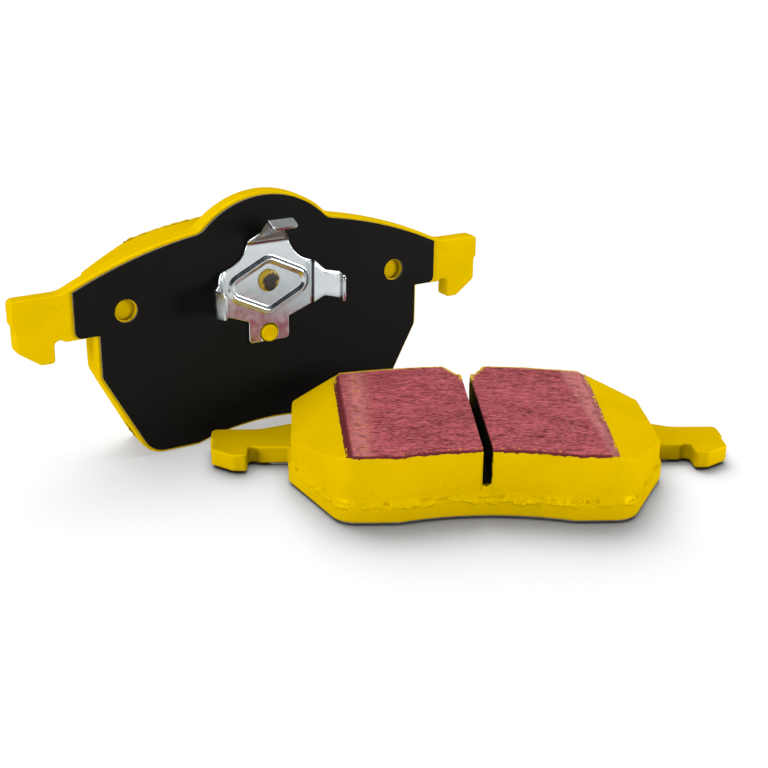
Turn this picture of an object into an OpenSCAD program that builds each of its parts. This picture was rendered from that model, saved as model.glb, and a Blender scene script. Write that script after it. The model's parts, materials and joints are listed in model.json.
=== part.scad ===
// Disc brake pad set: one inner pad with a piston clip, standing on its two feet,
// and one outer pad lying on its back in front of it.
// Millimetres. +Z is up, the outer pad's length runs along X, and the origin is
// at the centre of the set's bounding box, on the surface that both pads rest on.
//
// Each pad is drawn in its own pad frame: X along the ears, Y outward from the
// disc axis (towards the crown), Z from the shim's outer face towards the disc,
// with the origin on the piston's axis. Heights below are measured from that axis.

/* [Backing plate] */
// Width over the tips of both ears
ear_span = 156.4; // [140:0.2:190]
// Width of the plate below the ears
body_width = 109.0; // [90:0.5:131]
// Thickness of the steel plate
plate_t = 5.2; // [4.5:0.1:8]
// Height of the crown arc above the axis, on the centre line
crown_height = 20.2; // [17:0.1:25]
// Radius of the crown arc
crown_radius = 141; // [120:1:200]
// Radius of the round bump that backs the piston
bump_radius = 29.2; // [26:0.1:35]
// How far the bump's centre lies below the axis
bump_drop = 1.2; // [0:0.1:4]
// Depth of the feet below the axis
foot_depth = 49.0; // [42:0.5:60]
// Half the distance between the two foot corners
foot_half = 40.1; // [34:0.1:44]
// Corner radius of the feet
foot_radius = 8; // [3:0.5:10]
// Depth below the axis where the straight sides end
knee_depth = 21.9; // [16:0.1:30]
// Rise of the arch between the feet
arch_rise = 3.8; // [1:0.1:6]
// Radius of the arch between the feet
arch_radius = 78; // [70:1:120]

/* [Ears] */
// Height of the ear's top face above the axis
ear_top = 5.0; // [3:0.1:7]
// Depth of the ear's guide face below the axis
ear_bottom = 9.1; // [6:0.1:12]
// Depth of the hook's tip below the axis
hook_depth = 14.9; // [13:0.1:20]
// Width of the hook at its root
hook_width = 11.7; // [8:0.1:13]
// Width of the hook's flat tip
hook_tip = 4.2; // [2:0.1:6]
// Step in the ear's outer edge
ear_step = 0.7; // [0.1:0.1:1.5]
// Depth below the axis where that step starts
ear_step_drop = 2.6; // [1:0.1:5]
// Radius of the relief in the corner behind the hook
relief_radius = 1.6; // [1:0.1:2.5]
// Depth of that relief into the ear
relief_depth = 0.8; // [0.2:0.1:1.5]
// Drop of the ear's outer corner below the guide face
ear_corner_drop = 0.9; // [0:0.1:2]
// Radius of the blend from the ear's top to the crown
shoulder_radius = 8; // [3:0.5:12]

/* [Keying holes] */
// Distance of each keying hole from the centre line
key_x = 45.2; // [38:0.1:47]
// Depth of the keying holes below the axis
key_drop = 2.3; // [0:0.1:6]
// Diameter of the keying holes
key_d = 6.2; // [5:0.1:9]
// How far the moulded plug stops short of the plate's back face
key_recess = 1.2; // [0.5:0.1:2]

/* [Friction material] */
// Thickness of the moulded underlayer
underlayer_t = 2.0; // [1:0.1:3]
// Thickness of the friction block on top of the underlayer
block_t = 11.8; // [10:0.1:15]
// Thickness of the bedding-in coating
coating_t = 1.0; // [0.4:0.1:1.5]
// Inset of the block from the plate's sides and feet
block_inset = 0.8; // [0.4:0.1:2]
// Inset of the outer pad's block from the plate's crown
crown_inset_outer = 0.6; // [0.5:0.1:4]
// Inset of the inner pad's block from the plate's crown
crown_inset_inner = 2.4; // [0.5:0.1:4]
// Height on the block's side where its upper corners start, above the axis
block_corner = 7.0; // [2:0.1:9]
// How far the underlayer spreads past the block
underlayer_spread = 0.3; // [0.1:0.1:0.4]
// Width of the centre slot
slot_w = 2.9; // [2:0.1:5]
// Depth of the centre slot below the coating's face
slot_depth = 11.0; // [6:0.1:12]
// Width of the notch where the slot meets the crown
notch_w = 13; // [6:0.5:18]
// Depth of that notch
notch_depth = 7.2; // [3:0.1:9]
// Width of the notch's floor
notch_floor = 5.4; // [3.2:0.1:6]
// Where the left end chamfer starts at the feet, from the centre line
face_left = 38.4; // [30:0.1:42]
// Where the right end chamfer starts at the feet, from the centre line
face_right = 35.2; // [30:0.1:42]
// Splay of each chamfer's upper edge, in degrees
chamfer_splay = 2.6; // [0:0.1:6]
// Drop of each end chamfer at the block's end
chamfer_drop = 7.6; // [2:0.1:9]

/* [Shim] */
// Thickness of the shim's adhesive layer
adhesive_t = 0.15; // [0.1:0.05:0.3]
// Thickness of the shim's steel core
core_t = 0.5; // [0.3:0.05:0.8]
// Thickness of the shim's rubber face
rubber_t = 0.15; // [0.1:0.05:0.3]
// Inset of the shim from the plate's edge
shim_inset = 1.1; // [0.6:0.1:2]
// Width of the shim over its two ears
shim_span = 121.2; // [116:0.2:134]
// Corner radius of the shim's ears
shim_corner = 2.0; // [1:0.1:3]
// Radial gap round the stud, the pip and the keying holes
shim_gap = 0.4; // [0.1:0.1:1]

/* [Piston clip] */
// Thickness of the spring sheet
clip_t = 0.8; // [0.5:0.05:1]
// Distance of the side bends from the axis
bend_side = 15.6; // [15:0.1:18]
// Distance of the top bend from the axis
bend_top = 13.4; // [12.8:0.1:16]
// Width of each finger at its bend
finger_root = 14.0; // [10:0.1:14.4]
// Width of each finger at its tip
finger_tip = 8.4; // [5:0.1:10]
// Radius of the circle that the three finger folds touch, for the piston's bore
fold_radius = 21.8; // [20:0.1:26]
// Height of the folds above the shim
fold_height = 8.7; // [6:0.1:12]
// Height of the lead-in lips beyond the folds
lip_height = 4.2; // [2:0.1:6]
// How far the lips lean back in
lip_lean = 1.8; // [0.5:0.1:3]
// Depth of the side fingers' centre line below the axis
clip_drop = 1.6; // [0:0.1:2]
// Half length of the raised diamond bead
bead_half_x = 20.2; // [14:0.1:21]
// Half height of the raised diamond bead
bead_half_y = 9.9; // [7:0.1:11]
// Width of the bead
bead_w = 2.7; // [1:0.1:3]
// Height of the bead above the sheet
bead_h = 0.7; // [0.3:0.1:1.2]
// Height of the stud's centre above the axis
stud_rise = 0.8; // [0:0.1:2]
// Diameter of the stud's shank
stud_d = 5.0; // [4:0.1:6]
// Diameter of the stud's peened head
head_d = 7.1; // [6.2:0.1:8]
// Thickness of the peened head
head_t = 1.1; // [0.6:0.1:2]
// Diameter of the locating pip
pip_d = 5.3; // [4:0.1:6]
// Depth of the pip's centre below the axis
pip_drop = 16.0; // [15:0.1:18]
// How far the pip stands out of the plate
pip_h = 2.3; // [1:0.1:3]
// Width of the clip's bottom tab
tab_w = 13.6; // [10:0.1:15]
// Depth of the tab's end below the axis
tab_depth = 18.6; // [17:0.1:21]

/* [Arrangement] */
// Turn of the standing pad about the vertical, in degrees
stand_turn = 28.5; // [0:0.1:40]
// Place of the standing pad's axis from the lying pad's axis, along X
stand_x = -61.3; // [-90:0.1:-61]
// Place of the standing pad's axis from the lying pad's axis, along Y
stand_y = 18.4; // [18:0.1:60]

/* [Hidden] */
$fn = 96;

eps = 0.01;
far = 200;
// Height of the bead's centre from the axis, and the radius of its corners.
bead_y = -0.6;
bead_radius = 5;
// Radius of the sheet's hollow flanks, and how far they dip below a straight edge.
flank_radius = 9.8;
flank_dip = 1.6;
// Extra radius of a rounding, so that its circle crosses the straight edges cleanly.
weld = 0.002;

// Levels in the pad frame, from the shim's outer face up to the disc face.
z_core = rubber_t;
z_adhesive = z_core + core_t;
z_plate = z_adhesive + adhesive_t;
z_under = z_plate + plate_t;
z_block = z_under + underlayer_t;
z_coat = z_block + block_t;
z_face = z_coat + coating_t;

// Centres of the plate's arcs, as heights above the stud.
crown_y = crown_height - crown_radius;
bump_y = -bump_drop;
arch_y = arch_rise - foot_depth - arch_radius;

side = body_width / 2;
ear_end = ear_span / 2;
hook_in = ear_end - hook_width;
shim_limit = shim_span / 2;
junction_radius = 4;
knee_radius = 4;
block_corner_radius = 3;
slope_left = atan(chamfer_drop / (side - block_inset - face_left));
slope_right = atan(chamfer_drop / (side - block_inset - face_right));

// The clip's sheet ends short of each bend, so that a finger can turn.
bend_gap = 0.3;
clip_half = clip_t / 2;
bend_z = bend_gap + clip_half;
taper_share = 0.45;

// ---------- outline helpers ----------

// Unit vector from a to b.
function toward(a, b) = (b - a) / norm(b - a);

// Outward normal of the edge from a to b of a counter-clockwise outline.
function edge_normal(a, b) = let (d = toward(a, b)) [d[1], -d[0]];

// Centre of the circle of radius r that rounds the corner at b.
function corner_centre(a, b, c, r) =
    let (u = toward(b, a), v = toward(b, c), s = abs(u[0] * v[1] - u[1] * v[0]))
    b + (u + v) * r / s;

// Convex counter-clockwise outline with each corner rounded by its own radius.
// inset draws the parallel outline that far inside, round the same centres.
module rounded(corners, radii, inset = 0) {
    n = len(corners);
    centres = [for (i = [0 : n - 1])
        corner_centre(corners[(i + n - 1) % n], corners[i], corners[(i + 1) % n], radii[i])];
    polygon([for (i = [0 : n - 1], k = [0, 1])
        centres[i] + (radii[i] - inset)
            * edge_normal(corners[(i + n - 1 + k) % n], corners[(i + k) % n])]);
    for (i = [0 : n - 1]) translate(centres[i]) circle(radii[i] - inset + weld);
}

// Both halves of something that repeats left and right.
module both_sides() {
    children();
    mirror([1, 0]) children();
}

// Fillet of radius r between the bump and the crown, at the given inset.
module junction_fillet(inset) {
    rb = bump_radius - inset;
    rc = crown_radius - inset;
    r = junction_radius + inset;
    fy = ((rc + r) ^ 2 - (rb + r) ^ 2 - crown_y ^ 2 + bump_y ^ 2) / (2 * (bump_y - crown_y));
    fx = sqrt((rb + r) ^ 2 - (fy - bump_y) ^ 2);
    f = [fx, fy];
    on_bump = [0, bump_y] + (f - [0, bump_y]) * rb / (rb + r);
    on_crown = [0, crown_y] + (f - [0, crown_y]) * rc / (rc + r);
    difference() {
        polygon([on_bump, [on_bump[0] - r, bump_y], [on_crown[0], bump_y], on_crown]);
        translate(f) circle(r + weld);
    }
}

// Crown, bump, sides, knees, feet and arch of the plate, without the ears.
module body_outline(inset = 0) {
    difference() {
        union() {
            intersection() {
                translate([0, crown_y]) circle(crown_radius - inset, $fn = 360);
                rounded([[-foot_half, -foot_depth], [foot_half, -foot_depth],
                         [side, -knee_depth], [side, far], [-side, far], [-side, -knee_depth]],
                        [foot_radius, foot_radius, knee_radius,
                         knee_radius, knee_radius, knee_radius], inset);
            }
            translate([0, bump_y]) circle(bump_radius - inset, $fn = 180);
            both_sides() junction_fillet(inset);
        }
        translate([0, arch_y]) circle(arch_radius + inset, $fn = 360);
    }
}

// Blend between the ear's top face and the crown.
module shoulder() {
    r = shoulder_radius;
    fy = ear_top + r;
    fx = sqrt((crown_radius + r) ^ 2 - (fy - crown_y) ^ 2);
    on_crown = [0, crown_y] + ([fx, fy] - [0, crown_y]) * crown_radius / (crown_radius + r);
    difference() {
        polygon([[side - r, -ear_bottom], [fx, -ear_bottom], [fx, ear_top], on_crown,
                 [side - r, ear_top]]);
        translate([fx, fy]) circle(r + weld);
    }
}

// Stretch of the crown arc that reaches past the body's side, above the ear.
module crown_overhang(inset) {
    intersection() {
        translate([0, crown_y]) circle(crown_radius - inset, $fn = 360);
        translate([side - knee_radius, -ear_bottom])
            square([ear_end - side, ear_bottom + crown_height]);
    }
}

// One ear with its hook, on the +X side.
module ear() {
    difference() {
        union() {
            // Upper part, full length.
            rounded([[side - 6, -ear_bottom], [ear_end, -ear_bottom],
                     [ear_end, ear_top], [side - 6, ear_top]], [0.5, 0.5, 1.8, 0.5]);
            // Hook, with its sloping outer corner.
            rounded([[hook_in, -hook_depth], [hook_in + hook_tip, -hook_depth],
                     [ear_end - ear_step, -ear_bottom - ear_corner_drop], [ear_end - ear_step, 0],
                     [hook_in, 0]], [1.0, 2.0, 1.2, 0.4, 0.4]);
            crown_overhang(0);
            shoulder();
        }
        // Step in the outer edge.
        translate([ear_end - ear_step, -hook_depth]) square([far, hook_depth - ear_step_drop]);
        // Relief behind the hook.
        translate([hook_in - relief_radius, relief_depth - relief_radius - ear_bottom])
            circle(relief_radius);
    }
}

// Whole outline of the steel plate.
module plate_outline() {
    body_outline();
    both_sides() ear();
}

// Outline of the bonded shim.
module shim_outline() {
    intersection() {
        union() {
            body_outline(shim_inset);
            both_sides() crown_overhang(shim_inset);
        }
        union() {
            rounded([[-shim_limit, 0.6 - ear_bottom], [shim_limit, 0.6 - ear_bottom],
                     [shim_limit, far], [-shim_limit, far]],
                    [shim_corner, shim_corner, shim_corner, shim_corner]);
            translate([shim_inset - side, -far]) square([2 * (side - shim_inset), far]);
        }
    }
}

// Outline of the friction block, or of the underlayer with a spread.
module block_outline(crown_inset, spread = 0) {
    inset = block_inset - spread;
    difference() {
        intersection() {
            body_outline(inset);
            translate([0, crown_y]) circle(crown_radius - crown_inset + spread, $fn = 360);
            rounded([[-side, -far], [side, -far], [side, block_corner],
                     [side - 3 * block_corner_radius, far], [3 * block_corner_radius - side, far],
                     [-side, block_corner]],
                    [block_corner_radius, block_corner_radius, block_corner_radius,
                     block_corner_radius, block_corner_radius, block_corner_radius], inset);
        }
        slot_notch(crown_inset);
    }
}

// Notch in the crown side of the block, where the slot comes out.
module slot_notch(crown_inset) {
    top = crown_height - crown_inset;
    polygon([[-notch_floor / 2, top - notch_depth], [notch_floor / 2, top - notch_depth],
             [notch_w / 2, top + eps], [notch_w / 2, top + 4], [-notch_w / 2, top + 4],
             [-notch_w / 2, top + eps]]);
}

// Space above one end chamfer, on the +X side, splayed about the foot end.
module chamfer_cut(start, slope) {
    translate([start, -foot_depth, z_coat])
        rotate([0, 0, -chamfer_splay])
            rotate([0, slope, 0])
                translate([0, -far, 0]) cube([far, 2 * far, far]);
}

// Both end chamfers.
module chamfers() {
    chamfer_cut(face_right, slope_right);
    mirror([1, 0, 0]) chamfer_cut(face_left, slope_left);
}

// Centre slot, open at both ends and at the face.
module slot() {
    translate([-slot_w / 2, -far, z_face - slot_depth]) cube([slot_w, 2 * far, far]);
}

// Copies a shape to both keying holes.
module at_keys() {
    for (x = [-key_x, key_x]) translate([x, -key_drop, 0]) children();
}

// Turns the back view (X right, Y up, Z out of the shim) into the pad frame.
module on_back() {
    rotate([0, 180, 0]) children();
}

// ---------- pad pieces, in the pad frame ----------

// Steel plate, with the clip's stud and locating pip when it is the inner one.
module plate_solid(with_stud) {
    difference() {
        translate([0, 0, z_plate]) linear_extrude(plate_t) plate_outline();
        at_keys() translate([0, 0, z_plate - 1]) cylinder(d = key_d, h = plate_t + 2);
    }
    if (with_stud) {
        on_back() {
            translate([0, stud_rise, -z_plate - eps])
                cylinder(d = stud_d, h = z_plate + clip_t + 2 * eps);
            translate([0, stud_rise, clip_t]) cylinder(d = head_d, h = head_t);
            translate([0, -pip_drop, -z_plate - eps]) cylinder(d = pip_d, h = pip_h + eps);
        }
    }
}

// Moulded underlayer with the plugs that key it to the plate.
module underlayer_solid(crown_inset) {
    translate([0, 0, z_under]) linear_extrude(underlayer_t)
        block_outline(crown_inset, underlayer_spread);
    at_keys() translate([0, 0, z_plate + key_recess])
        cylinder(d = key_d, h = plate_t - key_recess + eps);
}

// Friction block with its slot, notch and end chamfers.
module block_solid(crown_inset) {
    difference() {
        translate([0, 0, z_block]) linear_extrude(block_t) block_outline(crown_inset);
        chamfers();
        slot();
    }
}

// Coating on the flat face, on the side given by which (-1 or +1).
module coating_solid(crown_inset, which) {
    difference() {
        intersection() {
            translate([0, 0, z_coat]) linear_extrude(coating_t) block_outline(crown_inset);
            translate([which > 0 ? 0 : -far, -far, 0]) cube([far, 2 * far, far]);
        }
        chamfers();
        slot();
    }
}

// One layer of the shim, from height z, with room for the stud and the pip.
module shim_layer(z, t, with_stud) {
    difference() {
        translate([0, 0, z]) linear_extrude(t) shim_outline();
        at_keys() translate([0, 0, z - 1]) cylinder(d = key_d + 2 * shim_gap, h = t + 2);
        if (with_stud) {
            translate([0, stud_rise, z - 1]) cylinder(d = stud_d + 2 * shim_gap, h = t + 2);
            translate([0, -pip_drop, z - 1]) cylinder(d = pip_d + 2 * shim_gap, h = t + 2);
        }
    }
}

// ---------- piston clip, in the back view with Z out of the shim's face ----------

// Outline of the clip's flat sheet.
module clip_outline() {
    edge_top = bend_top - clip_half - bend_gap;
    edge_side = bend_side - clip_half - bend_gap;
    half = finger_root / 2;
    top_corner = [half, edge_top];
    side_corner = [edge_side, half - clip_drop];
    flank_out = edge_normal(side_corner, top_corner);
    difference() {
        rounded([[-edge_side, -clip_drop - half], [-tab_w / 2, -clip_drop - half - 3],
                 [tab_w / 2, -clip_drop - half - 3], [edge_side, -clip_drop - half],
                 side_corner, top_corner, [-half, edge_top],
                 [-edge_side, half - clip_drop]],
                [0.5, 0.5, 0.5, 0.5, 0.5, 0.5, 0.5, 0.5]);
        both_sides()
            translate((top_corner + side_corner) / 2 + flank_out * (flank_radius - flank_dip))
                circle(flank_radius);
    }
    rounded([[-tab_w / 2, -tab_depth], [tab_w / 2, -tab_depth],
             [tab_w / 2, 0], [-tab_w / 2, 0]], [1.2, 1.2, 0.5, 0.5]);
}

// Rounded diamond of the bead, drawn in by the given inset.
module bead_outline(inset) {
    translate([0, bead_y])
        rounded([[0, -bead_half_y], [bead_half_x, 0], [0, bead_half_y], [-bead_half_x, 0]],
                [for (i = [1 : 4]) bead_radius], inset);
}

// Flat spring sheet with its bead, stud hole and pip notch.
module clip_sheet() {
    difference() {
        union() {
            linear_extrude(clip_t) clip_outline();
            translate([0, 0, clip_half])
                linear_extrude(clip_half + bead_h)
                    difference() {
                        bead_outline(0);
                        bead_outline(bead_w);
                    }
        }
        translate([0, stud_rise, -1]) cylinder(d = stud_d, h = clip_t + 2);
        translate([0, -pip_drop, -1]) cylinder(d = pip_d + 2 * shim_gap, h = clip_t + 2);
        translate([-1.2, -pip_drop - far, -1]) cube([2.4, far, clip_t + 2]);
    }
}

// Sheet of thickness clip_t seen on edge, between two points.
module strip(a, b) {
    d = toward(a, b);
    angle = atan2(d[1], d[0]);
    translate(a) rotate(angle) translate([0, -clip_half]) square([norm(b - a), clip_t]);
    translate(a) circle(clip_half, $fn = 32);
    translate(b) circle(clip_half, $fn = 32);
}

// Spring finger that rises from a bend at distance bend, leans out to its fold
// and back in at its lip. It points along +X, and the piston's bore meets the fold.
module finger(bend) {
    root = [bend, bend_z];
    fold = [fold_radius - clip_half, fold_height];
    tip = fold + [-lip_lean, lip_height];
    shoulder_z = fold_height * taper_share;
    intersection() {
        rotate([90, 0, 0]) translate([0, 0, -finger_root])
            linear_extrude(2 * finger_root) {
                strip(root, fold);
                strip(fold, tip);
            }
        rotate([90, 0, 90])
            linear_extrude(far)
                polygon([[-finger_root / 2, -1], [finger_root / 2, -1],
                         [finger_root / 2, bend_z], [finger_tip / 2, shoulder_z],
                         [finger_tip / 2, far], [-finger_tip / 2, far],
                         [-finger_tip / 2, shoulder_z], [-finger_root / 2, bend_z]]);
    }
}

// ---------- places of the two pads ----------

// Corners that set the bounding box, from the lying pad's axis.
left_edge = stand_x - ear_end * cos(stand_turn) - (z_under - z_plate) * sin(stand_turn);
right_edge = ear_end;
front_edge = -foot_depth;
block_end = side - block_inset;
ear_back = ear_end * sin(stand_turn) + plate_t * cos(stand_turn);
chamfer_low = z_coat - z_plate - chamfer_drop;
block_back = face_left * sin(stand_turn) + (z_face - z_plate) * cos(stand_turn);
low_back = block_end * sin(stand_turn) + chamfer_low * cos(stand_turn);
back_edge = stand_y + max(ear_back, block_back, low_back);
centre_x = (left_edge + right_edge) / 2;
centre_y = (front_edge + back_edge) / 2;

// Lying outer pad: the pad frame itself, moved to the common origin.
module lying() {
    translate([-centre_x, -centre_y, 0]) children();
}

// Standing inner pad: its back faces -Y, turned about the vertical.
module standing() {
    translate([stand_x - centre_x, stand_y - centre_y, foot_depth])
        rotate([0, 0, stand_turn])
            translate([0, -z_plate, 0])
                rotate([90, 0, 180]) children();
}

// Clip pieces of the standing pad, drawn in the back view.
module on_standing_back() {
    standing() on_back() children();
}

// ---------- nodes ----------

module outer_backing_plate() { color("gold") lying() plate_solid(false); }
module outer_underlayer() { color("goldenrod") lying() underlayer_solid(crown_inset_outer); }
module outer_friction_block() { color("gold") lying() block_solid(crown_inset_outer); }
module outer_coating_left() { color("indianred") lying() coating_solid(crown_inset_outer, -1); }
module outer_coating_right() { color("indianred") lying() coating_solid(crown_inset_outer, 1); }
module outer_shim_adhesive() {
    color("dimgray") lying() shim_layer(z_adhesive, adhesive_t, false);
}
module outer_shim_core() { color("silver") lying() shim_layer(z_core, core_t, false); }
module outer_shim_rubber() { color("black") lying() shim_layer(0, rubber_t, false); }

module inner_backing_plate() { color("gold") standing() plate_solid(true); }
module inner_underlayer() { color("goldenrod") standing() underlayer_solid(crown_inset_inner); }
module inner_friction_block() { color("gold") standing() block_solid(crown_inset_inner); }
module inner_coating_left() { color("indianred") standing() coating_solid(crown_inset_inner, 1); }
module inner_coating_right() {
    color("indianred") standing() coating_solid(crown_inset_inner, -1);
}
module inner_shim_adhesive() {
    color("dimgray") standing() shim_layer(z_adhesive, adhesive_t, true);
}
module inner_shim_core() { color("silver") standing() shim_layer(z_core, core_t, true); }
module inner_shim_rubber() { color("black") standing() shim_layer(0, rubber_t, true); }

module clip_base() { color("lightsteelblue") on_standing_back() clip_sheet(); }
module clip_finger_top() {
    color("silver") on_standing_back() rotate([0, 0, 90]) finger(bend_top);
}
module clip_finger_left() {
    color("silver") on_standing_back()
        translate([0, -clip_drop, 0]) rotate([0, 0, 180]) finger(bend_side);
}
module clip_finger_right() {
    color("silver") on_standing_back() translate([0, -clip_drop, 0]) finger(bend_side);
}

outer_backing_plate();
outer_underlayer();
outer_friction_block();
outer_coating_left();
outer_coating_right();
outer_shim_adhesive();
outer_shim_core();
outer_shim_rubber();
inner_backing_plate();
inner_underlayer();
inner_friction_block();
inner_coating_left();
inner_coating_right();
inner_shim_adhesive();
inner_shim_core();
inner_shim_rubber();
clip_base();
clip_finger_top();
clip_finger_left();
clip_finger_right();
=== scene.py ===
"""Looks for a disc brake pad set: two coated pads, their friction blocks, shims and a piston clip.

Every shape is worked out in millimetres in the pad's own frame (X along the ears, Y outward to
the crown, Z from the shim's outer face to the disc) and is then placed in metres.
"""

import json
import math

import bpy
import numpy as np
from bpy.props import FloatProperty, FloatVectorProperty, PointerProperty
from mathutils import Matrix, Vector
from mathutils.geometry import delaunay_2d_cdt

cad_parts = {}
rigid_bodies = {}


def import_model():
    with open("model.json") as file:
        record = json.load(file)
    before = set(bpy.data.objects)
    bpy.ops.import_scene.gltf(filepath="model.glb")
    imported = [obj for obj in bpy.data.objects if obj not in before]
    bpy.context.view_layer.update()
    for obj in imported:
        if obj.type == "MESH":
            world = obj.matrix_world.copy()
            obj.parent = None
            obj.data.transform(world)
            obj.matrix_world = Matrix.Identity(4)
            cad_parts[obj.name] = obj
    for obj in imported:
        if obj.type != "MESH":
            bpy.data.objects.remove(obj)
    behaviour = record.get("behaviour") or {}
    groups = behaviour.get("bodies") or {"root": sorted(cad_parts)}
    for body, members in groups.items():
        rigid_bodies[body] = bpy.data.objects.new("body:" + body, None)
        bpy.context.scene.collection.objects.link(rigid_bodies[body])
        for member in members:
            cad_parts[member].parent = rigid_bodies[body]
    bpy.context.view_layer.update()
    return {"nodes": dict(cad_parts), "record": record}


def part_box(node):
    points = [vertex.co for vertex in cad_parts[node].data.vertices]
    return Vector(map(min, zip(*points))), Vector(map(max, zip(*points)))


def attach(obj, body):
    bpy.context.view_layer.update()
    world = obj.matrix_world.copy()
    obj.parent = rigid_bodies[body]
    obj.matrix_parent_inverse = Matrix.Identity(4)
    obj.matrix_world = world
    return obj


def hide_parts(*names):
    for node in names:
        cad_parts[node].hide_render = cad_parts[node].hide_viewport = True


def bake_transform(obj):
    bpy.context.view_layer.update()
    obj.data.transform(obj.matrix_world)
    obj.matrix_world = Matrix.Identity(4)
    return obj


bl_info = {
    "name": "Disc brake pad set",
    "version": (1, 0, 0),
    "blender": (4, 5, 0),
    "location": "View3D > Sidebar > Pad set",
    "description": "Builds the visible pieces of a disc brake pad set around its packed frame",
    "category": "Add Mesh",
}

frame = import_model()

MM = 0.001
WHOLE_HULL = 0  # output of the triangulation: every triangle of the points' hull
SHARP = math.radians(38)
SLIVER = 2e-5  # twice the area of the smallest triangle that counts, in square millimetres
LINE_STEP = 0.8  # spacing of the points along a straight line inside a filled face
FINGERS = ("top", "left", "right")
CRUMB = (0.6, 0.6, 0.55)  # size of the crumbs along a sawn edge, and how far they stand out
CRUMB_REACH = 0.26
LAND = 0.12  # flat strip between a rounded edge and the face inside it
PLATE_STEP = 0.35  # spacing of the points round a plate
SHEET_STEP = 0.25  # spacing of the points round the clip's sheet
SHEET_LAND = 0.36  # width of the sheet's rounded edge and the flat strip inside it
SHEET_LIFT = 0.01  # air between the clip's sheet and the shim
HOLE_EDGE, HOLE_SOFTEN = 0.3, 0.05  # rounding of a key hole's edges and blur of its outline
PLATE_RIM_BLUR, SHEET_RIM_BLUR = 0.3, 0.2  # keeps the innermost row from crossing itself

DIM_SIDE, BRIGHT_SIDE = (0.055, 0.065, 0.085), (1.0, 1.0, 1.0)
BEND_SHADE = (0.020, 0.015, 0.020)  # painted shade: dark colour put in the hollow of a bend and over a fold
SHEEN_TINT = (1.0, 0.8, 0.05)  # warm pigment at the skin of the yellow coat
FLECK = (0.30, 0.20, 0.19)  # grey flecks in the bedding coat
ROUGH_BAND = (0.62, 0.22, 0.20)  # rubbed coat in the rough bands
PIT = (0.16, 0.03, 0.035)  # dark floor of the pits
PAINTED_PALE_REFLECTION = (0.60, 0.65, 0.65)  # painted reflection: the pale colour the bright clip shows where it mirrors the coat
BOND = (0.03, 0.03, 0.03)  # adhesive film
SPECK_CORE = 0.15  # solid middle of a speck, as a share of its cell
STROKE_BEND = (0.0, 1.6 * MM, 1.6 * MM)  # how far the strokes wave to the side

# The seam's profile, from its top rim down: inset from the outline and share of the way down.
SEAM_PROFILE = (
    (0.5, 0.0),
    (0.30, 0.0),
    (0.27, 0.12),
    (0.20, 0.24),
    (0.08, 0.36),
    (-0.08, 0.48),
    (-0.25, 0.58),
    (-0.42, 0.68),
    (-0.56, 0.78),
    (-0.64, 0.86),
    (-0.62, 0.93),
    (-0.45, 1.0),
    (0.5, 1.0),
)
SEAM_SAG = 1.9  # how far the seam's lower edge can run down over the plate

# The stud head's profile: share of its radius and share of its height.
HEAD_PROFILE = (
    (0, 0.0),
    (0.96, 0.0),
    (1.0, 0.12),
    (1.0, 0.4),
    (0.95, 0.66),
    (0.84, 0.82),
    (0.68, 0.90),
    (0.5, 0.94),
    (0.3, 0.95),
    (0.14, 0.95),
    (0, 0.95),
)

ARC = 9  # points round each end of a finger's section
ROUND_END = 0.6  # how far a finger's rounded side stands out, as a share of its radius

FLOOR_REACH = 6.0
SUN_SPREAD = math.radians(62)
CAMERA_PLACE = (-0.01967, -0.36910, 0.16216)
CAMERA_TURN = (68.998, -0.855, -2.956)  # degrees about X, Y and Z
CAMERA_LENS, CAMERA_SENSOR = 60.9375, 36.0  # millimetres


# ---------------------------------------------------------------- settings


def length(name, description, default, low, high):
    """A length setting, given in millimetres and stored in metres."""
    return FloatProperty(
        name=name,
        description=description,
        default=default * MM,
        min=low * MM,
        max=high * MM,
        unit="LENGTH",
        precision=5,
    )


def colour(name, description, default):
    """A colour setting, as linear red, green and blue."""
    return FloatVectorProperty(
        name=name,
        description=description,
        default=default,
        size=3,
        min=0.0,
        max=1.0,
        subtype="COLOR",
    )


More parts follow.
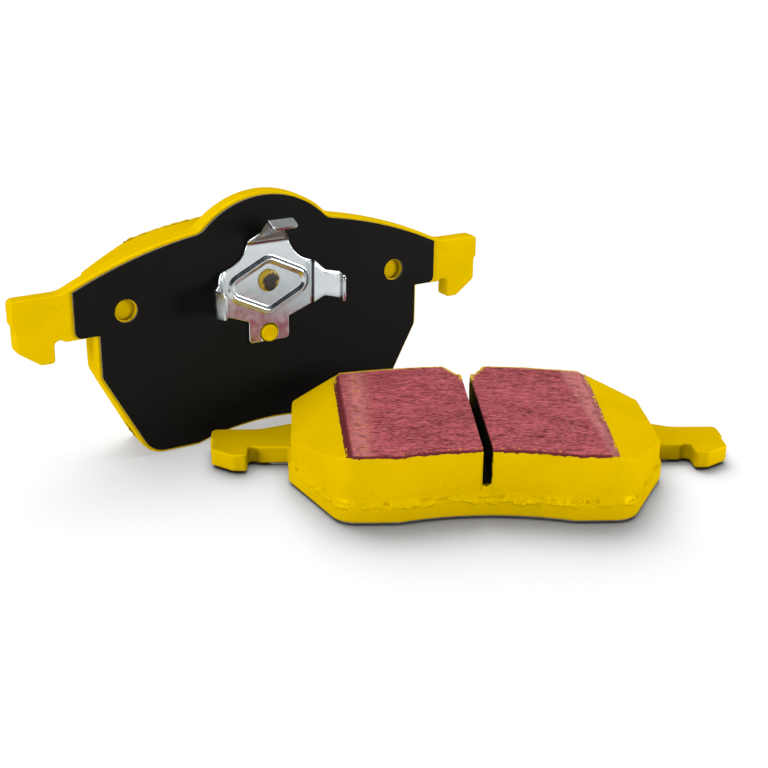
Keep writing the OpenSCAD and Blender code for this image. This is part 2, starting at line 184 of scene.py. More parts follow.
class PadSetSizes(bpy.types.PropertyGroup):
    """Sizes of the finish that the steel and friction pieces get."""

    plate_edge: length("Plate edge", "Rounding of the plate's coated edges", 0.55, 0.1, 1.0)
    block_edge: length("Block edge", "Rounding of the friction block's edges", 0.45, 0.1, 1.0)
    coating_edge: length("Coating edge", "Rounding of the coating's edges", 0.14, 0.05, 0.3)
    corner_soften: length("Corner softening", "Blur of sharp outline corners", 0.35, 0.1, 1.0)
    seam_lump: length("Seam lumps", "Height of the lumps along the moulded seam", 0.42, 0.0, 0.6)
    ragged: length("Ragged edge", "Raggedness of the coating's lower edge", 0.55, 0.0, 1.0)
    stroke_relief: length("Grinding relief", "Height of the coating's strokes", 0.05, 0.0, 0.2)
    bend_side: length("Side bends", "Distance of the side bends from the axis", 15.6, 15, 18)
    bend_top: length("Top bend", "Distance of the top bend from the axis", 13.4, 12.8, 16)
    finger_root: length("Finger root", "Width of each finger at its bend", 14.0, 10, 14.4)
    finger_tip: length("Finger tip", "Width of each finger at its tip", 8.4, 5, 10)
    fold_radius: length("Fold radius", "Radius that the finger folds reach", 21.8, 20, 26)
    fold_height: length("Fold height", "Height of the folds above the shim", 8.7, 6, 12)
    lip_height: length("Lip height", "Height of the lips beyond the folds", 4.2, 2, 6)
    lip_lean: length("Lip lean", "How far the lips lean back in", 1.8, 0.5, 3)
    clip_drop: length("Clip drop", "Depth of the side fingers below the axis", 1.6, 0, 2)
    sheet: length("Spring sheet", "Thickness of the spring sheet", 0.8, 0.5, 1)
    stud_rise: length("Stud rise", "Height of the stud above the axis", 0.8, 0, 2)
    stud_head: length("Stud head", "Diameter of the stud's peened head", 7.1, 6.2, 8)
    head_height: length("Head height", "Thickness of the peened head", 1.1, 0.6, 2)
    pip_drop: length("Pip drop", "Depth of the locating pip below the axis", 16.0, 15, 18)
    pip_width: length("Pip width", "Diameter of the locating pip", 5.3, 4, 6)
    pip_height: length("Pip height", "How far the pip stands out of the shim", 1.5, 0.5, 2)


class PadSetColours(bpy.types.PropertyGroup):
    """Colours of the finishes."""

    powder: colour("Powder coat", "Yellow coat of the plates and blocks", (0.68, 0.442, 0.0))
    powder_speck: colour("Powder specks", "Fine specks in the yellow coat", (0.36, 0.24, 0.0))
    # painted shade: the colour put into the seam's hollows and along its foot, where shadow falls
    seam: colour("Seam", "Dull coat in the crevices of the seam", (0.16, 0.095, 0.0))
    coating: colour("Bedding coat", "Light strokes of the coating", (0.56, 0.118, 0.138))
    coating_dark: colour("Bedding coat, low", "Dark strokes of the coating", (0.12, 0.008, 0.012))
    coating_edge: colour("Bedding coat, edge", "Cut edge of the coating", (0.11, 0.010, 0.012))
    coating_speck: colour("Abrasive grains", "Orange grains in the coating", (0.72, 0.22, 0.035))
    slot: colour("Sawn slot", "Bare friction compound in the slot", (0.012, 0.010, 0.006))
    rubber: colour("Shim face", "Black rubber of the shim", (0.0030, 0.0028, 0.0024))
    core: colour("Shim steel", "Sheet steel inside the shim", (0.34, 0.34, 0.35))
    zinc: colour("Zinc plate", "Bright plate of the spring clip", (0.62, 0.66, 0.67))
    worn: colour("Worn metal", "Bare metal of the peened head", (0.018, 0.012, 0.005))
    floor: colour("Floor", "Pale studio floor", (0.72, 0.72, 0.72))


# ---------------------------------------------------------------- frames and outlines


class Pad:
    """Where one pad lies: x, y, z in millimetres of its frame become metres of the set's frame."""

    def __init__(self, name, axes, origin):
        self.name = name
        self.axes = np.array(axes, float)  # rows are the pad's X, Y and Z
        self.origin = np.array(origin, float)

    def place(self, points):
        """Points of this frame in metres of the set's frame."""
        return points * MM @ self.axes + self.origin

    def local(self, points):
        """Points of the set's frame in millimetres of this one."""
        return (points - self.origin) @ self.axes.T / MM

    def back(self):
        """The same place seen from behind: X the other way and Z out of the shim."""
        return Pad(self.name, self.axes * np.array([[-1], [1], [-1]]), self.origin)

    def turned(self, angle, shift):
        """The place turned about Z and then moved, both in this frame."""
        c, s = math.cos(angle), math.sin(angle)
        axes = np.array([[c, s, 0], [-s, c, 0], [0, 0, 1]]) @ self.axes
        return Pad(self.name, axes, self.place(np.array(shift, float)))


def both_pads():
    """The two pads' frames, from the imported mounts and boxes."""
    seat = next(m for m in frame["record"]["mounts"] if m["name"] == "inner_piston_seat")
    up, face = Vector((0, 0, 1)), -Vector(seat["axis"])
    low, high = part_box("outer_backing_plate")
    lying = ((low.x + high.x) / 2, low.y + seat["pos_m"][2], 0)
    return (
        Pad("outer", np.eye(3), lying),
        Pad("inner", [up.cross(face), up, face], seat["pos_m"]),
    )


def cad_mesh(node, pad):
    """Welded corners of a CAD node in the pad's frame, and its triangles."""
    mesh = frame["nodes"][node].data
    mesh.calc_loop_triangles()
    flat = np.empty(len(mesh.vertices) * 3)
    mesh.vertices.foreach_get("co", flat)
    tris = np.empty(len(mesh.loop_triangles) * 3, int)
    mesh.loop_triangles.foreach_get("vertices", tris)
    keys = np.round(pad.local(flat.reshape(-1, 3)), 3)
    corners, same = np.unique(keys, axis=0, return_inverse=True)
    return corners, whole(same.reshape(-1)[tris].reshape(-1, 3))


def whole(tris):
    """The triangles whose three corners differ."""
    a, b, c = tris.T
    return tris[(a != b) & (b != c) & (a != c)]


def loops_at(node, pad, level):
    """Rims of a CAD node's flat face at one level, the longest first and counter-clockwise.

    A rim edge belongs to one triangle of the face. The edges are put in order by pointer
    jumping: every corner counts its steps to the lowest-numbered corner of its own loop.
    """
    corners, tris = cad_mesh(node, pad)
    face = tris[np.all(np.abs(corners[tris][:, :, 2] - level) < 0.002, axis=1)]
    start, stop = face.reshape(-1), np.roll(face, -1, axis=1).reshape(-1)
    count = len(corners)
    rim = ~np.isin(start * count + stop, stop * count + start)
    start, stop = start[rim], stop[rim]
    follow = np.arange(count)
    follow[start] = stop
    head, jump = np.arange(count), follow.copy()
    rounds = int(math.ceil(math.log2(count))) + 1
    for _ in range(rounds):
        head, jump = np.minimum(head, head[jump]), jump[jump]
    follow[start[stop == head[stop]]] = head[start[stop == head[stop]]]
    is_last = np.zeros(count, bool)
    is_last[start[stop == head[stop]]] = True
    jump = np.where(is_last, np.arange(count), follow)
    steps = np.where(is_last, 0, 1)
    for _ in range(rounds):
        steps, jump = steps + steps[jump], jump[jump]
    loops = []
    for first in np.unique(head[start]):
        members = start[head[start] == first]
        points = corners[members[np.argsort(-steps[members])], :2]
        loops.append(points if area(points) > 0 else points[::-1])
    return sorted(loops, key=lambda p: -abs(area(p)))


def block_normals(pad):
    """Corners of the CAD block's triangles, one after another, and their cross products."""
    corners, tris = cad_mesh(f"{pad.name}_friction_block", pad)
    a, b, c = (corners[tris[:, k]] for k in range(3))
    return (a, b, c), np.cross(b - a, c - a)


def chamfer_planes(pad):
    """Height function of the block's two sloping ends, from the CAD's sloping triangles."""
    (a, _, _), cross = block_normals(pad)
    size = np.linalg.norm(cross, axis=1)
    cross, a, size = cross[size > 0], a[size > 0], size[size > 0]
    unit = cross / size[:, None]
    planes = []
    for side in (-1, 1):
        pick = (unit[:, 2] > 0.5) & (unit[:, 2] < 0.98) & (unit[:, 0] * side > 0.1)
        point = (a[pick] * size[pick, None]).sum(0) / size[pick].sum()
        planes.append((cross[pick].sum(0), point))

    def ends(flat):
        """The lower plane's z: p_z - (n_x (x - p_x) + n_y (y - p_y)) / n_z."""
        return np.minimum(*(p[2] - (flat - p[:2]) @ n[:2] / n[2] for n, p in planes))

    return ends


def slot_shape(pad, top):
    """Half the slot's width and the height of its floor, from the CAD block."""
    around, cross = block_normals(pad)
    around = np.stack(around, axis=1)
    level = around[:, 0, 2]
    floor = (cross[:, 2] > 1) & (np.ptp(around[:, :, 2], axis=1) < 0.002) & (level < top - 1)
    return np.abs(around[floor][:, :, 0]).max(), level[floor].mean()


def area(points):
    """Signed area inside a closed path, half the sum of its cross products."""
    x, y = points.T
    return 0.5 * np.sum(x * np.roll(y, -1) - y * np.roll(x, -1))


def even(points, step):
    """A closed path's points spaced evenly along its length."""
    closed = np.vstack([points, points[:1]])
    along = np.r_[0, np.cumsum(np.linalg.norm(np.diff(closed, axis=0), axis=1))]
    at = np.linspace(0, along[-1], max(12, round(along[-1] / step)), endpoint=False)
    return np.stack([np.interp(at, along, closed[:, k]) for k in (0, 1)], axis=1)


def blurred(path, step, width):
    """A closed path blurred by a Gaussian of that width along its length."""
    turns = np.fft.fftfreq(len(path), step)
    damp = np.exp(-2 * (math.pi * turns * width) ** 2)
    return np.fft.ifft(np.fft.fft(path, axis=0) * damp[:, None], axis=0).real


def softened(points, step, width):
    """An evenly spaced closed path with its corners blurred."""
    return blurred(even(points, step), step, width)


def outward(path):
    """Unit normals of a counter-clockwise closed path, from the chord between neighbours."""
    chord = np.roll(path, -1, axis=0) - np.roll(path, 1, axis=0)
    normal = np.stack([chord[:, 1], -chord[:, 0]], axis=1)
    return normal / np.maximum(np.linalg.norm(normal, axis=1, keepdims=True), 1e-9)


def crossed(path, lines):
    """A closed path with a point added wherever it crosses one of the upright lines x = value."""
    closed = np.vstack([path, path[:1]])
    added = []
    for value in lines:
        side = closed[:, 0] - value
        at = np.nonzero(side[:-1] * side[1:] < 0)[0]
        added.append(at + side[at] / (side[at] - side[at + 1]))
    places = np.sort(np.r_[np.arange(len(path)), np.concatenate(added)])
    rank = np.arange(len(closed))
    return np.stack([np.interp(places, rank, closed[:, k]) for k in (0, 1)], axis=1)


def gap(points, loop):
    """Distance from each point to the nearest point of a loop."""
    best = np.full(len(points), np.inf)
    for part in np.array_split(np.arange(len(loop)), max(1, len(loop) // 60)):
        apart = points[:, None, :] - loop[None, part, :]
        best = np.minimum(best, np.sqrt((apart**2).sum(-1)).min(1))
    return best


def inside(points, loop):
    """Whether each point is inside a closed path: an odd number of its edges pass to the right."""
    a, b = loop, np.roll(loop, -1, axis=0)
    level = a[:, 1] == b[:, 1]
    lean = (b[:, 0] - a[:, 0]) / np.where(level, 1, b[:, 1] - a[:, 1])
    found = []
    for part in np.array_split(points, max(1, len(points) // 2000)):
        x, y = part[:, :1], part[:, 1:]
        spans = (a[:, 1] > y) != (b[:, 1] > y)
        found.append((spans & (x < a[:, 0] + (y - a[:, 1]) * lean)).sum(1) % 2 == 1)
    return np.concatenate(found)


def noise(points, sizes, seed):
    """Smooth noise from -1 to 1: random values on a box lattice of those sizes, blended by
    the cubic 3t^2 - 2t^3 between the lattice corners."""
    q = np.asarray(points, float) / np.asarray(sizes, float) + seed * 7.31
    cell = np.floor(q)
    t = q - cell
    t = t * t * (3 - 2 * t)
    total = np.zeros(len(q))
    for corner in np.ndindex(*(2,) * q.shape[1]):
        weight = np.prod(np.where(corner, t, 1 - t), axis=1)
        key = (cell + corner) @ np.array([127.1, 311.7, 74.7])[: q.shape[1]] + seed * 19.19
        total += weight * ((np.sin(key) * 43758.5453) % 1.0)
    return 2 * total - 1


def smooth(low, high, x):
    """0 below low and 1 above high, with a cubic between them."""
    t = np.clip((x - low) / (high - low), 0, 1)
    return t * t * (3 - 2 * t)


# ---------------------------------------------------------------- meshes


def quads(rows, cols):
    """Faces of a grid of rows by cols points, closed along the columns."""
    r = np.arange(rows - 1)[:, None] * cols
    c = np.arange(cols)[None, :]
    d = (c + 1) % cols
    return np.stack([r + c, r + d, r + cols + d, r + cols + c], axis=-1).reshape(-1, 4)


def filled(loops, step, lines=()):
    """Triangles over what lies inside the first loop and outside the others.

    Their corners are the loops' own points and a lattice of that step, kept clear of the
    rims. Each upright line x = value is an edge from rim to rim. Gives the points, the
    triangles and each point's place in the loops, which is -1 for a point of the inside.
    """
    points = np.vstack(loops)
    edges, base = [], 0
    for loop in loops:
        ids = base + np.arange(len(loop))
        edges.append(np.stack([ids, np.roll(ids, -1)], axis=1))
        base += len(loop)
    for value in lines:
        ends = np.nonzero(np.abs(points[:, 0] - value) < 1e-6)[0]
        start, stop = points[ends[0], 1], points[ends[-1], 1]
        between = np.linspace(start, stop, max(3, round(abs(stop - start) / LINE_STEP)))[1:-1]
        chain = np.r_[ends[0], len(points) + np.arange(len(between)), ends[-1]]
        points = np.vstack([points, np.column_stack([np.full(len(between), value), between])])
        edges.append(np.stack([chain[:-1], chain[1:]], axis=1))
    if step:
        low, high = loops[0].min(0), loops[0].max(0)
        xs, ys = np.arange(low[0], high[0], step), np.arange(low[1], high[1], step * 0.866)
        lattice = np.stack(np.meshgrid(xs, ys), axis=-1)
        lattice[1::2, :, 0] += step / 2
        lattice = lattice.reshape(-1, 2)
        lattice = lattice[gap(lattice, points) > 0.6 * step]
        for value in lines:
            lattice = lattice[np.abs(lattice[:, 0] - value) > 0.3 * step]
        if len(lines):
            lattice = lattice[np.abs(lattice[:, 0]) > max(lines)]
        points = np.vstack([points, lattice])
    found = delaunay_2d_cdt(points.tolist(), np.vstack(edges).tolist(), [], WHOLE_HULL, 1e-6)
    source = np.array([given[0] if given else -1 for given in found[3]])
    flat = np.where(source[:, None] >= 0, points[source], np.array(found[0]))
    tris = np.array(found[2], int)
    a, b, c = (flat[tris[:, k]] for k in range(3))
    middle = (a + b + c) / 3
    kept = inside(middle, loops[0]) & (np.abs(np.cross(b - a, c - a)) > SLIVER)
    for hole in loops[1:]:
        kept &= ~inside(middle, hole)
    used, tris = np.unique(tris[kept], return_inverse=True)
    source = np.where(source < sum(map(len, loops)), source, -1)
    return flat[used], tris.reshape(-1, 3), source[used]


class Shell:
    """Collects the surfaces of one closed piece, in millimetres, before they are welded."""

    def __init__(self):
        self.points, self.faces, self.values, self.count = [], [], [], 0

    def add(self, points, faces, flip=False, values=None):
        """Adds a surface, and a value for each of its points."""
        self.faces.append((faces[:, ::-1] if flip else faces) + self.count)
        self.points.append(points)
        self.values.append(np.zeros(len(points)) if values is None else values)
        self.count += len(points)

    def grid(self, points, values=None):
        """A grid of points, as an array of rows, columns and x, y, z."""
        self.add(points.reshape(-1, 3), quads(*points.shape[:2]), values=values)

    def cap(self, rims, height=None, step=0.0, flip=False, lines=()):
        """A filled face: its rims keep their heights, and height gives those of the inside."""
        flat, tris, source = filled([rim[:, :2] for rim in rims], step, lines)
        rim = np.vstack(rims)[:, 2]
        within = np.full(len(flat), rim.mean()) if height is None else height(flat)
        self.add(np.column_stack([flat, np.where(source < 0, within, rim[source])]), tris, flip)

    def piece(self, name, pad, finish, body, slot, replaces, marks=None):
        """Makes the object: welds the rims, shades it smooth and gives it its finish.

        marks maps an attribute's name to a function of the points in millimetres, or to
        None for the values that the surfaces were added with.
        """
        points = np.vstack(self.points)
        keys, first, same = np.unique(
            np.round(points, 4), axis=0, return_index=True, return_inverse=True
        )
        same = same.reshape(-1)
        points = points[first]
        faces = []
        for part in self.faces:
            part = same[part]
            if part.shape[1] == 4:
                flat = (part == np.roll(part, -1, axis=1)).any(axis=1)
                faces.extend(part[~flat].tolist())
                odd = part[flat]
                three = odd[(odd == np.roll(odd, -1, axis=1)).sum(axis=1) == 1]
                part = three[three != np.roll(three, -1, axis=1)].reshape(-1, 3)
            faces.extend(whole(part).tolist())
        mesh = bpy.data.meshes.new(name)
        mesh.from_pydata(pad.place(points).tolist(), [], faces)
        mesh.validate()
        mesh.shade_smooth()
        mesh.set_sharp_from_angle(angle=SHARP)
        for mark, rule in (marks or {}).items():
            layer = mesh.attributes.new(mark, "FLOAT", "POINT")
            values = rule(points) if rule else np.concatenate(self.values)[first]
            layer.data.foreach_set("value", values.astype(np.float32))
        mesh.materials.append(bpy.data.materials[finish])
        made = bpy.data.objects.new(name, mesh)
        bpy.context.scene.collection.objects.link(made)
        if isinstance(body, str):
            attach(made, body)
        else:
            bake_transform(made)
        if replaces:
            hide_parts(replaces)
        return made


def at_height(flat, height):
    """Flat points with a height for each or for all."""
    return np.column_stack([flat, np.broadcast_to(height, len(flat))])


def ring(path, inset, height):
    """Points of a path drawn in by an inset, at a height for each point."""
    return at_height(path - outward(path) * np.reshape(inset, (-1, 1)), height)


def rounded_wall(path, step, inner, blur, lower, upper, shares=()):
    """Rows of a wall whose lower and upper edges are quarter circles.

    lower and upper are a face's height, a radius and angles in degrees. At the angle a, a row
    is drawn in by r (1 - sin a) and lies r (1 - cos a) from its face. The first row and the
    last are drawn in by inner, blurred along the path. An inset below 0 goes outward, for a
    hole. shares are the places of the straight rows between, from 0 to 1.
    """
    side = math.copysign(1, inner)
    land = blurred(ring(path, inner, 0)[:, :2], step, blur)
    (low, low_radius, low_angles), (high, high_radius, high_angles) = lower, upper
    rows = [at_height(land, low)]
    for a in np.radians(low_angles):
        height = low + low_radius * (1 - math.cos(a))
        rows.append(ring(path, side * low_radius * (1 - math.sin(a)), height))
    straight = high - high_radius - low - low_radius
    rows += [ring(path, 0, low + low_radius + straight * share) for share in shares]
    for a in np.radians(high_angles[::-1]):
        height = high - high_radius * (1 - math.cos(a))
        rows.append(ring(path, side * high_radius * (1 - math.sin(a)), height))
    return np.array(rows + [at_height(land, high)])


def moulded(shell, path, base, top, lip, step, rows=10, lines=(), bulge=None, relief=None):
    """A closed body with an upright wall, a rounded lip and a shaped top.

    The wall is the path carried from base up to the top, less the lip. The lip is a quarter
    circle, drawn in by lip (1 - cos a) and up by lip sin a. The top is filled in at the
    height that top gives, plus relief. bulge moves the wall's points outward.
    """
    crest = top(path)
    foot = np.broadcast_to(base, len(path)).astype(float)
    radius = np.minimum(lip, 0.9 * np.maximum(crest - foot, 1e-3))
    straight = crest - radius - foot
    wall = [ring(path, 0, foot + straight * share) for share in np.linspace(0, 1, rows)]
    for angle in np.radians(np.linspace(18, 90, 5)):
        drawn = ring(path, radius * (1 - math.cos(angle)), 0)
        drawn[:, 2] = top(drawn[:, :2]) - radius * (1 - math.sin(angle))
        wall.append(drawn)
    last = ring(path, radius + LAND, 0)
    last[:, 2] = top(last[:, :2])
    wall = np.array(wall + [last])
    if bulge is not None:
        shift = bulge(wall)
        wall[:, :, :2] += outward(path)[None] * shift[:, :, None]
    for value in lines:
        on_line = np.abs(path[:, 0] - value) < 1e-6
        crumbs = noise(wall[:-1, on_line].reshape(-1, 3), CRUMB, seed=71)
        wall[:-1, on_line, 0] = value + CRUMB_REACH * crumbs.reshape(len(wall) - 1, -1)
        wall[-1, on_line, 0] = value
    wall[-1, :, 2] = top(wall[-1, :, :2])
    shell.grid(wall)
    rim = wall[-1, :, :2]

    def raised(flat):
        """The top with its relief, which fades out toward the rim."""
        height = top(flat)
        if relief is not None:
            height = height + relief(flat) * smooth(0.0, 1.2, gap(flat, rim))
        return height

    shell.cap([wall[-1]], raised, step, lines=lines)
    shell.cap([wall[0]], flip=True)


def turned_profile(shell, centre, radii, heights, turns=64, wobble=None):
    """A surface of revolution: each radius of the profile is carried round its centre."""
    angle = np.linspace(0, 2 * math.pi, turns, endpoint=False)
    radii, z = (np.outer(values, np.ones(turns)) for values in (radii, heights))
    x, y = centre[0] + radii * np.cos(angle), centre[1] + radii * np.sin(angle)
    points = np.stack([x, y, z], axis=-1)
    if wobble is not None:
        points = wobble(points)
    shell.grid(points)


# ---------------------------------------------------------------- shader nodes


def put(tree, kind, links=None, **settings):
    """Adds a node, sets its options, and sets or links its inputs."""
    made = tree.nodes.new(kind)
    for key, value in settings.items():
        setattr(made, key, value)
    for key, value in (links or {}).items():
        socket = made.inputs[key]
        if isinstance(value, bpy.types.NodeSocket):
            tree.links.new(value, socket)
        else:
            socket.default_value = value
    return made


def rgba(value):
    """A colour with a full alpha."""
    return (*value[:3], 1.0)


def shade(value, share):
    """A colour made darker or lighter by a share."""
    return tuple(min(1.0, part * share) for part in value)


def maths(tree, operation, a, b):
    """The result of one sum on two values."""
    return put(tree, "ShaderNodeMath", {0: a, 1: b}, operation=operation).outputs[0]


def scaled(tree, value, low, high, from_low=0.0, from_high=1.0):
    """A value mapped from one range to another."""
    links = {
        "Value": value,
        "From Min": from_low,
        "From Max": from_high,
        "To Min": low,
        "To Max": high,
    }
    return put(tree, "ShaderNodeMapRange", links).outputs[0]


def weighted(tree, *pairs):
    """The sum of values times their weights."""
    total = 0.0
    for value, weight in pairs:
        total = maths(tree, "ADD", maths(tree, "MULTIPLY", value, weight), total)
    return total


def mixed(tree, factor, a, b):
    """Colour between a and b by a factor."""
    made = put(tree, "ShaderNodeMix", data_type="RGBA")
    for socket, value in ((made.inputs[0], factor), (made.inputs[6], a), (made.inputs[7], b)):
        if isinstance(value, bpy.types.NodeSocket):
            tree.links.new(value, socket)
        else:
            socket.default_value = rgba(tuple(value))
    return made.outputs[2]


def group(name, inputs, outputs, build):
    """A shader node group with those sockets. build(tree, entry) gives the output sockets."""
    if name in bpy.data.node_groups:
        return bpy.data.node_groups[name]
    tree = bpy.data.node_groups.new(name, "ShaderNodeTree")
    for label, kind, default in inputs:
        socket = tree.interface.new_socket(label, in_out="INPUT", socket_type=kind)
        if default is not None:
            socket.default_value = default
    for label, kind in outputs:
        tree.interface.new_socket(label, in_out="OUTPUT", socket_type=kind)
    entry, leave = tree.nodes.new("NodeGroupInput"), tree.nodes.new("NodeGroupOutput")
    for (label, _), value in zip(outputs, build(tree, entry.outputs)):
        tree.links.new(value, leave.inputs[label])
    return tree


def grain_group():
    """Grain: two sizes of noise, as a height and as a slow mask, both from 0 to 1."""

    def build(tree, entry):
        where = entry["Vector"]
        links = {"Vector": where, "Scale": entry["Fine"], "Detail": 3.0, "Roughness": 0.6}
        fine = put(tree, "ShaderNodeTexNoise", links).outputs["Fac"]
        links = {"Vector": where, "Scale": entry["Coarse"], "Detail": 2.0}
        coarse = put(tree, "ShaderNodeTexNoise", links).outputs["Fac"]
        height = put(tree, "ShaderNodeMix", {0: entry["Share"], 2: fine, 3: coarse})
        return height.outputs[0], coarse

    inputs = [
        ("Vector", "NodeSocketVector", None),
        ("Fine", "NodeSocketFloat", 2000.0),
        ("Coarse", "NodeSocketFloat", 200.0),
        ("Share", "NodeSocketFloat", 0.5),
    ]
    outputs = [("Height", "NodeSocketFloat"), ("Mask", "NodeSocketFloat")]
    return group("Grain", inputs, outputs, build)


def specks_group():
    """Specks: dots at random cells of a Voronoi pattern, from 0 to 1."""

    def build(tree, entry):
        links = {"Vector": entry["Vector"], "Scale": entry["Scale"], "Randomness": 1.0}
        cells = put(tree, "ShaderNodeTexVoronoi", links)
        chance = put(tree, "ShaderNodeSeparateColor", {"Color": cells.outputs["Color"]})
        chosen = maths(tree, "LESS_THAN", chance.outputs[0], entry["Share"])
        dot = scaled(tree, cells.outputs["Distance"], 1.0, 0.0, SPECK_CORE, entry["Reach"])
        return (maths(tree, "MULTIPLY", chosen, dot),)

    inputs = [
        ("Vector", "NodeSocketVector", None),
        ("Scale", "NodeSocketFloat", 800.0),
        ("Share", "NodeSocketFloat", 0.1),
        ("Reach", "NodeSocketFloat", 0.45),
    ]
    return group("Specks", inputs, [("Mask", "NodeSocketFloat")], build)


def strokes_group():
    """Strokes: noise stretched along the pad's X, as long wavy marks from 0 to 1."""

    def vectors(tree, operation, a, b):
        return put(tree, "ShaderNodeVectorMath", {0: a, 1: b}, operation=operation).outputs[0]

    def build(tree, entry):
        links = {"Vector": entry["Vector"], "Scale": 90.0, "Detail": 1.0}
        wave = put(tree, "ShaderNodeTexNoise", links).outputs["Color"]
        bend = vectors(tree, "MULTIPLY", wave, STROKE_BEND)
        moved = vectors(tree, "ADD", entry["Vector"], bend)
        links = {
            "Vector": vectors(tree, "MULTIPLY", moved, entry["Stretch"]),
            "Scale": entry["Scale"],
            "Detail": 4.0,
            "Roughness": 0.62,
        }
        marks = put(tree, "ShaderNodeTexNoise", links).outputs["Fac"]
        return (scaled(tree, marks, 0.0, 1.0, 0.34, 0.66),)

    inputs = [
        ("Vector", "NodeSocketVector", None),
        ("Stretch", "NodeSocketVector", (0.12, 1.0, 1.0)),
        ("Scale", "NodeSocketFloat", 900.0),
    ]
    return group("Strokes", inputs, [("Mask", "NodeSocketFloat")], build)


def grain(tree, where, fine, coarse, share):
    """The Height and Mask of a grain of two sizes."""
    links = {"Vector": where, "Fine": fine, "Coarse": coarse, "Share": share}
    return put(tree, "ShaderNodeGroup", node_tree=grain_group(), links=links).outputs


def specks(tree, where, scale, share, reach):
    """A mask of specks: their size falls as the scale rises, and share is how many."""
    links = {"Vector": where, "Scale": scale, "Share": share, "Reach": reach}
    placed = put(tree, "ShaderNodeGroup", node_tree=specks_group(), links=links)
    return placed.outputs["Mask"]


def strokes(tree, where, stretch, scale):
    """A mask of strokes that are long where stretch is small."""
    links = {"Vector": where, "Stretch": stretch, "Scale": scale}
    placed = put(tree, "ShaderNodeGroup", node_tree=strokes_group(), links=links)
    return placed.outputs["Mask"]


def start_material(name):
    """A material, its node tree and its Principled shader's inputs."""
    made = bpy.data.materials.new(name)
    made.use_nodes = True
    return made, made.node_tree, made.node_tree.nodes["Principled BSDF"].inputs


def object_place(tree, pad=None):
    """Object coordinates, turned into the pad's own frame where a pad is given."""
    coords = put(tree, "ShaderNodeTexCoord").outputs["Object"]
    if pad is None:
        return coords
    links = {0: coords, 1: tuple(pad.origin)}
    moved = put(tree, "ShaderNodeVectorMath", links, operation="SUBTRACT").outputs[0]
    turn = Matrix(pad.axes.tolist()).to_euler("XYZ")
    return put(tree, "ShaderNodeMapping", {"Vector": moved, "Rotation": turn}).outputs[0]


def painted_pale_reflection(tree, where, colour_socket):
    """The colour as the eye sees it, and a painted reflection: a paler colour that glossy rays see
    on its +X part, so the clip mirrors it pale.
    """
    mirrored = put(tree, "ShaderNodeLightPath").outputs["Is Glossy Ray"]
    along = put(tree, "ShaderNodeSeparateXYZ", {"Vector": where}).outputs["X"]
    share = scaled(tree, along, 0.0, 0.92, -17 * MM, 1 * MM)
    return mixed(tree, maths(tree, "MULTIPLY", mirrored, share), colour_socket, PAINTED_PALE_REFLECTION)


def calm_bounce(tree, colour_socket, level):
    """The colour as the eye sees it, and a greyer, darker one for light that bounces off it."""
    bounce = put(tree, "ShaderNodeLightPath").outputs["Is Diffuse Ray"]
    return mixed(tree, maths(tree, "MULTIPLY", bounce, 0.85), colour_socket, (level,) * 3)


def bumped(tree, inputs, height, strength, distance):
    """Gives the shader a bump of that height."""
    links = {"Height": height, "Strength": strength, "Distance": distance}
    tree.links.new(put(tree, "ShaderNodeBump", links).outputs["Normal"], inputs["Normal"])


def slow(tree, value, low, high):
    """A noise's middle range spread over low to high."""
    return scaled(tree, value, low, high, 0.3, 0.7)


def mark(tree, name):
    """A piece's own attribute as a value."""
    return put(tree, "ShaderNodeAttribute", attribute_name=name).outputs["Fac"]


def powder_material(name, colours, roughness, peel, dots):
    """Yellow powder coat: orange peel, slow colour drift, fine specks and painted shade in the
    seam's hollows and foot.
    """
    made, tree, inputs = start_material(name)
    where = object_place(tree)
    peel_grain = grain(tree, where, 1500.0, 260.0, 0.45)
    drift = grain(tree, where, 90.0, 28.0, 0.5)
    fine = specks(tree, where, 1100.0, dots, 0.38)
    tone = slow(tree, drift["Height"], 0.0, 1.0)
    base = mixed(tree, tone, shade(colours.powder, 0.90), shade(colours.powder, 1.06))
    base = mixed(tree, maths(tree, "MULTIPLY", fine, 0.55), base, colours.powder_speck)
    # painted shade: the seam attribute darkens the seam's hollows and its foot by the plate
    base = mixed(tree, maths(tree, "MULTIPLY", mark(tree, "seam"), 0.6), base, colours.seam)
    tree.links.new(calm_bounce(tree, base, 0.12), inputs["Base Color"])
    rough = slow(tree, peel_grain["Mask"], roughness - 0.06, roughness + 0.08)
    tree.links.new(rough, inputs["Roughness"])
    bumped(tree, inputs, peel_grain["Height"], peel, 0.12 * MM)
    inputs["Metallic"].default_value = 0.12
    inputs["Specular IOR Level"].default_value = 0.0
    inputs["Specular Tint"].default_value = rgba(SHEEN_TINT)
    return made


def compound_material(name, colours):
    """Yellow coat on the friction block, going over to bare compound inside the slot."""
    made = powder_material(name, colours, 0.46, 0.35, 0.05)
    tree = made.node_tree
    target = tree.nodes["Principled BSDF"].inputs["Base Color"]
    crumbs = grain(tree, object_place(tree), 900.0, 420.0, 0.4)
    edge = maths(tree, "ADD", mark(tree, "bare"), slow(tree, crumbs["Height"], -0.42, 0.42))
    factor = scaled(tree, edge, 0.0, 1.0, 0.42, 0.58)
    coat = target.links[0].from_socket
    tree.links.new(mixed(tree, factor, coat, colours.slot), target)
    return made


